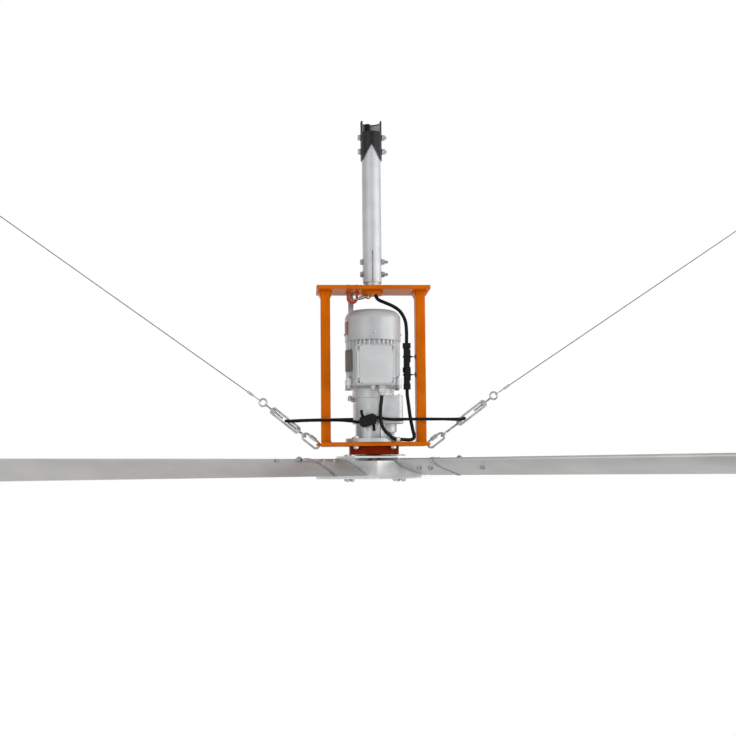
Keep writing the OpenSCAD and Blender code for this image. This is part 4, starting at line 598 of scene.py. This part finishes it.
# A screw thread from low to high. No operator cuts one with flat ends, so its rings are laid out here.
def addThread(piece, matrix, diameter, low, high, pitch, hand=1):
    shape, rows = bmesh.new(), []
    sides = turning["threadSides"]
    steps = max(turning["threadLeast"], round((high - low) / pitch * turning["threadSteps"]))
    for i in range(steps + 1):
        z = low + (high - low) * i / steps
        row = []
        for k in range(sides):
            phase = (z / pitch - hand * k / sides) % 1.0
            chamfer = turning["threadEnd"] * pitch if i in (0, steps) else 0.0
            radius = diameter / 2 - turning["threadDepth"] * pitch * abs(2 * phase - 1) - chamfer
            angle = 2 * math.pi * k / sides
            row.append(shape.verts.new((radius * math.cos(angle), radius * math.sin(angle), z)))
        rows.append(row)
    for lower, upper in zip(rows, rows[1:]):
        for k in range(sides):
            shape.faces.new((lower[k - 1], lower[k], upper[k], upper[k - 1]))
    shape.faces.new(rows[0][::-1])
    shape.faces.new(rows[-1])
    joinShape(piece, shape, matrix)


# Round wire bent about Z from one angle to another, in degrees
def addWire(piece, matrix, radius, wire, start, end):
    shape = bmesh.new()
    full = abs(end - start) >= 360
    bmesh.ops.create_circle(shape, cap_ends=not full, segments=turning["wireSides"], radius=wire / 2,
                            matrix=placed((0, 0, 0), (0, 0, start)) @ placed((radius, 0, 0), (90, 0, 0)))
    steps = max(turning["wireLeast"], round(abs(end - start) / turning["wireDegrees"]))
    spinAll(shape, end - start, steps, full)
    joinShape(piece, shape, matrix)


# Shares of a bolt's diameter. The head is seated at z = 0, the nut at -grip; the thread runs from the end up.
# In mm: the shortest thread and its highest end, how far a shank goes into its head, and its edge.
bolts = {"head": 0.65, "nut": 0.8, "flats": 1.6, "pitch": 0.15, "thread": 2.2,
         "least": 3, "top": -0.5, "into": 0.2, "edge": 0.1}


def addBolt(piece, matrix, d, grip, nut=True, tail=3.0, washer=0.0):
    low = -grip - (bolts["nut"] * d + tail if nut else 0.0)
    turn = min(max(low + bolts["least"], low + bolts["thread"] * d if nut else low), bolts["top"])
    addHex(piece, matrix, bolts["flats"] * d, 0.0, bolts["head"] * d)
    addDisc(piece, matrix, d / 2, turn, bolts["into"], bolts["edge"])
    addThread(piece, matrix, d, low, turn + bolts["edge"], bolts["pitch"] * d)
    if nut:
        addHex(piece, matrix, bolts["flats"] * d, -grip - bolts["nut"] * d, -grip, False)
    if washer:
        addDisc(piece, matrix, d, -washer, 0.0)
        addDisc(piece, matrix, d, -grip, -grip + washer)


# Pan-head screw with a round recess, head seated at z = 0. Recess: radius above and below, and height.
panHead = {"domeSteps": 5, "rim": 0.25, "recess": (0.34, 0.16, 0.55)}


def addPan(piece, matrix, headR, height, shankR, length):
    rim, (wide, narrow, floor) = panHead["rim"], panHead["recess"]
    angles = [math.pi / 2 * k / panHead["domeSteps"] for k in range(panHead["domeSteps"])]
    dome = [(headR * math.cos(a), height * (rim + (1 - rim) * math.sin(a))) for a in angles]
    addTurned(piece, matrix, [(0, 0), (headR, 0)] + dome + [
        (wide * headR, height), (narrow * headR, floor * height), (0, floor * height)])
    addDisc(piece, matrix, shankR, -length, bolts["into"], bolts["edge"])


def addBar(piece, low, high, edge):
    shape = bmesh.new()
    size = [h - l for l, h in zip(low, high)]
    middle = [(l + h) / 2 for l, h in zip(low, high)]
    bmesh.ops.create_cube(shape, size=1.0, matrix=Matrix.Translation(middle) @ Matrix.Diagonal((*size, 1)))
    bevelEdges(shape, shape.edges[:], edge, segments=2)
    joinShape(piece, shape)


# A flat block with rounded upright corners, standing on z = 0
def roundBlock(size, corner, segments=5):
    shape = bmesh.new()
    bmesh.ops.create_cube(shape, size=1.0, matrix=placed((0, 0, size[2] / 2)) @ Matrix.Diagonal((*size, 1)))
    upright = [e for e in shape.edges if abs(e.verts[0].co.z - e.verts[1].co.z) > size[2] / 2]
    bevelEdges(shape, upright, corner, segments)
    return shape


# the faces that look up, or down where way is -1
def endFaces(shape, way):
    shape.normal_update()
    return [face for face in shape.faces if face.normal.z * way > 0.9]


# an end face moved up or down, and drawn in by as much on all sides
def stepEnd(shape, way, step):
    for face in bmesh.ops.extrude_discrete_faces(shape, faces=endFaces(shape, way))["faces"]:
        for vert in face.verts:
            inwards = [-math.copysign(step, value) for value in vert.co.xy]
            vert.co += Vector((*inwards, way * step))


# Places: the tube's radius, the bolt's height and how far it stands past its nut
tubeBolts = {"diameter": 10, "washer": 2,
             "places": [(34.35, -35, 5), (34.35, -81, 5), (30.15, -439, 10), (30.15, -479, 10)]}


def makeTubeBolts():
    piece = bmesh.new()
    washer = tubeBolts["washer"]
    for radius, z, tail in tubeBolts["places"]:
        addBolt(piece, placed((-radius - washer, 0, z), (0, -90, 0)), tubeBolts["diameter"],
                2 * (radius + washer), True, tail, washer)
    addPiece("tubeBolts", finishMesh("tubeBolts", piece), "root", "zincPlate",
             ["tube_bolts"])


# Case bolts: x, y and grip. The plug's reach and head lie along its own axis.
gearboxBolts = {
    "case": [(-73.5, 0, 13), (-17.7813, 71.3167, 13), (77.7187, 9.10846, 21), (77.7187, -60.6123, 21)],
    "caseD": 6, "caseTop": -869, "flangeD": 10, "flangeR": 82.5, "flangeTop": -1001, "flangeGrip": 24,
    "guardD": 8, "guardX": 62, "guardSeat": -1044.5, "guardGrip": 29.5,
    "plug": (-60.795, -20, -882), "plugR": 4, "plugReach": (-4, 7), "plugFlats": 10, "plugHead": (3, 10),
}


def makeGearboxBolts():
    piece, g = bmesh.new(), gearboxBolts
    for x, y, grip in g["case"]:
        addBolt(piece, placed((x, y, g["caseTop"])), g["caseD"], grip, False)
    for degrees in (45, 135, 225, 315):
        around = placed((0, 0, 0), (0, 0, degrees))
        upright = placed((g["flangeR"], 0, g["flangeTop"]), (0, 0, -degrees))
        addBolt(piece, around @ upright, g["flangeD"], g["flangeGrip"])
    for way in (-1, 1):
        under = placed((way * g["guardX"], 0, g["guardSeat"]), (180, 0, 0))
        addBolt(piece, under, g["guardD"], g["guardGrip"], False)
    outwards = placed(g["plug"], (0, -90, 0))
    addDisc(piece, outwards, g["plugR"], *g["plugReach"])
    addHex(piece, outwards, g["plugFlats"], *g["plugHead"])
    addPiece("gearboxBolts", finishMesh("gearboxBolts", piece), "root", "zincPlate",
             ["gearbox_bolts"])


# Heads of pan screws: radius, height, shank radius and length
motorScrews = {"coverR": 88.5, "coverZ": -673, "coverHead": (4.5, 3, 2.5, 6),
               "foot": (78, 48, -814), "footD": 8, "footGrip": 32,
               "lid": (52.5, -143, 54), "lidMid": -779, "lidHead": (4, 3.5, 2, 13)}


def makeMotorScrews():
    piece, m = bmesh.new(), motorScrews
    for degrees in (0, 90, 180, 270):
        outwards = placed((0, 0, 0), (0, 0, degrees)) @ placed((m["coverR"], 0, m["coverZ"]), (0, 90, 0))
        addPan(piece, outwards, *m["coverHead"])
    footX, footY, footZ = m["foot"]
    lidX, lidY, lidZ = m["lid"]
    for wayX, wayY in ((-1, -1), (-1, 1), (1, -1), (1, 1)):
        addBolt(piece, placed((wayX * footX, wayY * footY, footZ)), m["footD"], m["footGrip"], False)
        addPan(piece, placed((wayX * lidX, lidY, m["lidMid"] + wayY * lidZ), (90, 0, 0)), *m["lidHead"])
    addPiece("motorScrews", finishMesh("motorScrews", piece), "root", "zincPlateDull",
             ["motor_screws"])


rotorBolts = {"diameter": 8, "armZ": -1082, "pitch": 20, "seat": 11.7655, "bladeAt": (188, 232, 425),
              "hubAt": (100, 121), "hubTop": -1056.5, "hubGrip": 70, "hubTail": 2,
              "flangeAt": 45, "flangeSeat": -1062.5, "flangeGrip": 9.5}


def makeRotorBolts():
    piece, r = bmesh.new(), rotorBolts
    for quarter in (0, 90, 180, 270):
        arm = placed((0, 0, 0), (0, 0, 45 + quarter))
        tilted = arm @ placed((0, 0, r["armZ"]), (-r["pitch"], 0, 0))
        for x in r["bladeAt"]:
            addBolt(piece, tilted @ placed((x, 0, r["seat"])), r["diameter"], 2 * r["seat"])
        for x in r["hubAt"]:
            addBolt(piece, arm @ placed((x, 0, r["hubTop"])), r["diameter"], r["hubGrip"], True, r["hubTail"])
        under = placed((0, 0, 0), (0, 0, quarter)) @ placed((r["flangeAt"], 0, r["flangeSeat"]), (180, 0, 0))
        addBolt(piece, under, r["diameter"], r["flangeGrip"], False)
    addPiece("rotorBolts", finishMesh("rotorBolts", piece), "fan_rotor", "zincPlateDull",
             ["rotor_bolts"])


makeTubeBolts()
makeGearboxBolts()
makeMotorScrews()
makeRotorBolts()
print("bolts and screws made")

# Turnbuckle rods: a hook on a threaded shank, and an eye on the other, left-handed one. Along the tackle, mm.
rods = {"lugX": 182, "lugZ": -1019, "rod": 8, "pitch": 1.6, "into": 1,
        "hookAt": 51.2, "hookR": 9, "hookAngles": (80, 400), "neck": 7.4, "neckLength": 7,
        "eyeR": 11.5, "eyeWire": 6, "eyeRod": 7,
        "sides": [  # way along X, degrees of the tackle, the hook shank's end, the eye shank's start, the eye
            {"way": -1, "tackle": 39, "hookEnd": 112, "eyeStart": 132, "eyeAt": 212},
            {"way": 1, "tackle": 37, "hookEnd": 123, "eyeStart": 172, "eyeAt": 252}]}


def makeTurnbuckleRods():
    piece = bmesh.new()
    for side in rods["sides"]:
        lug = placed((rods["lugX"], 0, rods["lugZ"]), (0, -side["tackle"], 0))
        tackle = Matrix.Scale(side["way"], 4, (1, 0, 0)) @ lug
        along = tackle @ placed((0, 0, 0), (0, 90, 0))
        shank = rods["hookAt"] + rods["hookR"]
        hook = tackle @ placed((rods["hookAt"], 0, 0))
        addWire(piece, hook, rods["hookR"], rods["rod"], *rods["hookAngles"])
        addDisc(piece, along, rods["neck"] / 2, shank, shank + rods["neckLength"])
        start = shank + rods["neckLength"] - rods["into"]
        addThread(piece, along, rods["rod"], start, side["hookEnd"], rods["pitch"])
        eye = tackle @ placed((side["eyeAt"], 0, 0), (90, 0, 0))
        addWire(piece, eye, rods["eyeR"], rods["eyeWire"], 0, 360)
        end = side["eyeAt"] - rods["eyeR"] + rods["into"]
        addThread(piece, along, rods["eyeRod"], side["eyeStart"], end, rods["pitch"], -1)
    addPiece("turnbuckleRods", finishMesh("turnbuckleRods", piece), "root", "zincPlateDull",
             ["turnbuckle_rods"])


# Ties that hold the inline connector to the post, with a foot on the post, and a wrap on the motor's lead.
# Loop: both sides and the corner. Bar and head: from, to, half the width and height, edge.
ties = {"connector": (107, -5), "z": (-743, -800), "postFace": 135,
        "loopAside": 1, "outer": (27, 25.4, 4), "inner": (24.4, 22.8, 3), "high": 4,
        "bar": (14, 25.5, 2, 1.5, 0.4), "head": (12.5, 16.5, 3, 2.6, 0.5), "foot": (3, 7, 0.6),
        "wrapAt": (70, -74.3, -1005.1), "wrapTurn": (0, 90, 19),
        "wrap": (7.5, 6.2, 12), "wrapEdge": (0.3, 0.4)}   # outer and inner radius and height, edge


# A rounded frame of flat strip, standing on z = 0
def addLoop(piece, matrix):
    shape = bmesh.new()
    for across, along, corner in (ties["outer"], ties["inner"]):
        joinShape(shape, roundBlock((across, along, ties["high"]), corner))
    ends = endFaces(shape, -1), endFaces(shape, 1)
    rims = [[edge for face in end for edge in face.edges] for end in ends]
    bmesh.ops.delete(shape, geom=ends[0] + ends[1], context="FACES_ONLY")
    for rim in rims:
        bmesh.ops.triangle_fill(shape, use_beauty=True, edges=rim)
    joinShape(piece, shape, matrix)


def makeTies():
    loops, feet = bmesh.new(), bmesh.new()
    x, y = ties["connector"]
    face = ties["postFace"]
    deep, half, footEdge = ties["foot"]
    for z in ties["z"]:
        addLoop(loops, placed((x + ties["loopAside"], y, z - ties["high"] / 2)))
        for first, last, wide, high, edge in (ties["bar"], ties["head"]):
            addBar(feet, (x + first, y - wide, z - high), (x + last, y + wide, z + high), edge)
        addBar(feet, (face - deep, y - half, z - half), (face, y + half, z + half), footEdge)
    addPiece("connectorLoops", finishMesh("connectorLoops", loops), "root", "mouldedBlack",
             ["cable_ties"])
    addPiece("postTies", finishMesh("postTies", feet), "root", "mouldedRed", ["cable_ties"])
    wrap = bmesh.new()
    outer, inner, high = ties["wrap"]
    across, up = ties["wrapEdge"]
    addTurned(wrap, placed(ties["wrapAt"], ties["wrapTurn"]), [
        (inner, -high / 2), (outer - across, -high / 2), (outer, -high / 2 + up), (outer, high / 2 - up),
        (outer - across, high / 2), (inner, high / 2)], ring=True)
    addPiece("leadWrap", finishMesh("leadWrap", wrap), "root", "naturalNylon",
             ["cable_ties"])


# A second, thin step on the raised panel of the terminal box's lid, in mm
lidPanel = {"low": (-49.5, -151.2, -835), "high": (49.5, -149.2, -723), "edge": 1.0}


def makeLidPanel():
    piece = bmesh.new()
    addBar(piece, lidPanel["low"], lidPanel["high"], lidPanel["edge"])
    addPiece("lidPanel", finishMesh("lidPanel", piece), "root", "motorEnamel")


# A blank sticker on the fan cover and a blank rating plate on the fins, both on the left as in the photograph
plates = {"stickerR": 88.6, "stickerThick": 0.15, "stickerAngles": (207, 181), "stickerZ": (-676, -634),
          "stickerSteps": 12, "plateR": 86.4, "plateAngle": 205, "plateZ": -758, "plateSize": (69, 45, 1.0),
          "plateCorner": 3, "backEdge": 0.3, "frontEdge": 0.2, "screwIn": 4, "screwHead": (2.2, 1.0, 1.0, 3)}


def makeBlankPlates():
    inside, outside = plates["stickerR"], plates["stickerR"] + plates["stickerThick"]
    low, high = plates["stickerZ"]
    first, last = plates["stickerAngles"]
    sticker, shape = bmesh.new(), bmesh.new()
    corners = ((inside, low), (outside, low), (outside, high), (inside, high))
    shape.faces.new([shape.verts.new((radius, 0, z)) for radius, z in corners])
    spinAll(shape, last - first, plates["stickerSteps"])
    joinShape(sticker, shape, placed((0, 0, 0), (0, 0, first)))
    addPiece("blankSticker", finishMesh("blankSticker", sticker), "root", "plainVinyl")
    plate = bmesh.new()
    tall, wide, thick = plates["plateSize"]
    around = placed((0, 0, plates["plateZ"]), (0, 0, plates["plateAngle"]))
    outwards = around @ placed((plates["plateR"], 0, 0), (0, 90, 0))
    back, front = plates["backEdge"], plates["frontEdge"]
    shape = roundBlock((tall, wide, thick - back - front), plates["plateCorner"])
    stepEnd(shape, -1, back)
    stepEnd(shape, 1, front)
    joinShape(plate, shape, outwards @ placed((0, 0, back)))
    for way in (-1, 1):
        seat = placed((way * (tall / 2 - plates["screwIn"]), 0, thick))
        addPan(plate, outwards @ seat, *plates["screwHead"])
    addPiece("blankPlate", finishMesh("blankPlate", plate), "root", "barePlate")


makeTurnbuckleRods()
makeTies()
makeLidPanel()
makeBlankPlates()
print("rods, ties and blank plates made")

# Studio: white all round, soft lamps on every side and a disc of pale floor that fades out
studio = {
    "ambient": 0.36,
    "lamps": [  # place, size, watts
        ((-2.5, -3.6, -0.4), 2.4, 56),
        ((3.2, -3.0, -0.4), 2.4, 84),
        ((3.3, -0.7, -0.3), 1.4, 42),
        ((1.4, -3.0, -2.3), 1.2, 16),
        ((-2.6, -2.0, -2.4), 1.6, 24),
        ((0.2, 0.6, 4.0), 2.4, 18),
        ((3.0, 3.2, -1.4), 2.4, 40),
        ((-3.0, 3.2, -1.4), 2.4, 40),
    ],
    "aim": (0.0, 0.0, -0.8),
    "floorZ": -2.7, "floorSides": 96, "floorFull": 1.5, "floorFade": 3.0, "floorTint": "#F2F2F0",
    "floorGlow": 0.6,   # share of white that the camera and gloss see in the floor
}


def makeWorld():
    world = bpy.data.worlds.new("studio")
    bpy.context.scene.world = world
    world.use_nodes = True
    tree = world.node_tree
    tree.nodes.clear()
    level = addRange(tree, seenRays(tree), (0.0, 1.0), (studio["ambient"], 1.0))
    back = addNode(tree, "ShaderNodeBackground", {"Color": (1, 1, 1, 1)}, {"Strength": level})
    addNode(tree, "ShaderNodeOutputWorld", {}, {"Surface": back.outputs["Background"]})


def makeLamps():
    for k, (place, size, watts) in enumerate(studio["lamps"]):
        lamp = bpy.data.lights.new(f"softbox{k}", "AREA")
        lamp.shape, lamp.size, lamp.energy = "SQUARE", size, watts
        holder = bpy.data.objects.new(f"softbox{k}", lamp)
        bpy.context.scene.collection.objects.link(holder)
        away = Vector(place) - Vector(studio["aim"])
        holder.matrix_world = Matrix.Translation(place) @ away.to_track_quat("Z", "Y").to_matrix().to_4x4()


def makeFloor():
    disc = bmesh.new()
    bmesh.ops.create_circle(disc, cap_ends=True, segments=studio["floorSides"], radius=studio["floorFade"],
                            matrix=Matrix.Translation((0, 0, studio["floorZ"])))
    mesh = bpy.data.meshes.new("floor")
    disc.to_mesh(mesh)
    disc.free()
    floor = bpy.data.objects.new("floor", mesh)
    bpy.context.scene.collection.objects.link(floor)
    paper, tree, place = startMaterial("paleFloor")
    fade = addNode(tree, "ShaderNodeMapRange", {
        "interpolation_type": "SMOOTHSTEP", "From Min": studio["floorFull"], "From Max": studio["floorFade"]},
        {"Value": addReach(tree, place)})
    share = addNode(tree, "ShaderNodeMath", {"operation": "MULTIPLY", 1: studio["floorGlow"]},
                    {0: seenRays(tree)})
    matt = addNode(tree, "ShaderNodeBsdfDiffuse", {"Color": hexLinear(studio["floorTint"])})
    white = addNode(tree, "ShaderNodeEmission", {"Strength": 1.0})
    pale = addNode(tree, "ShaderNodeMixShader", {}, {
        0: share.outputs["Value"], 1: matt.outputs["BSDF"], 2: white.outputs["Emission"]})
    clear = addNode(tree, "ShaderNodeBsdfTransparent")
    mixed = addNode(tree, "ShaderNodeMixShader", {}, {
        0: fade.outputs["Result"], 1: pale.outputs["Shader"], 2: clear.outputs["BSDF"]})
    addNode(tree, "ShaderNodeOutputMaterial", {}, {"Surface": mixed.outputs["Shader"]})
    mesh.materials.append(paper)


makeWorld()
makeLamps()
makeFloor()
bpy.context.scene.view_settings.view_transform = "Standard"
print("studio lit")
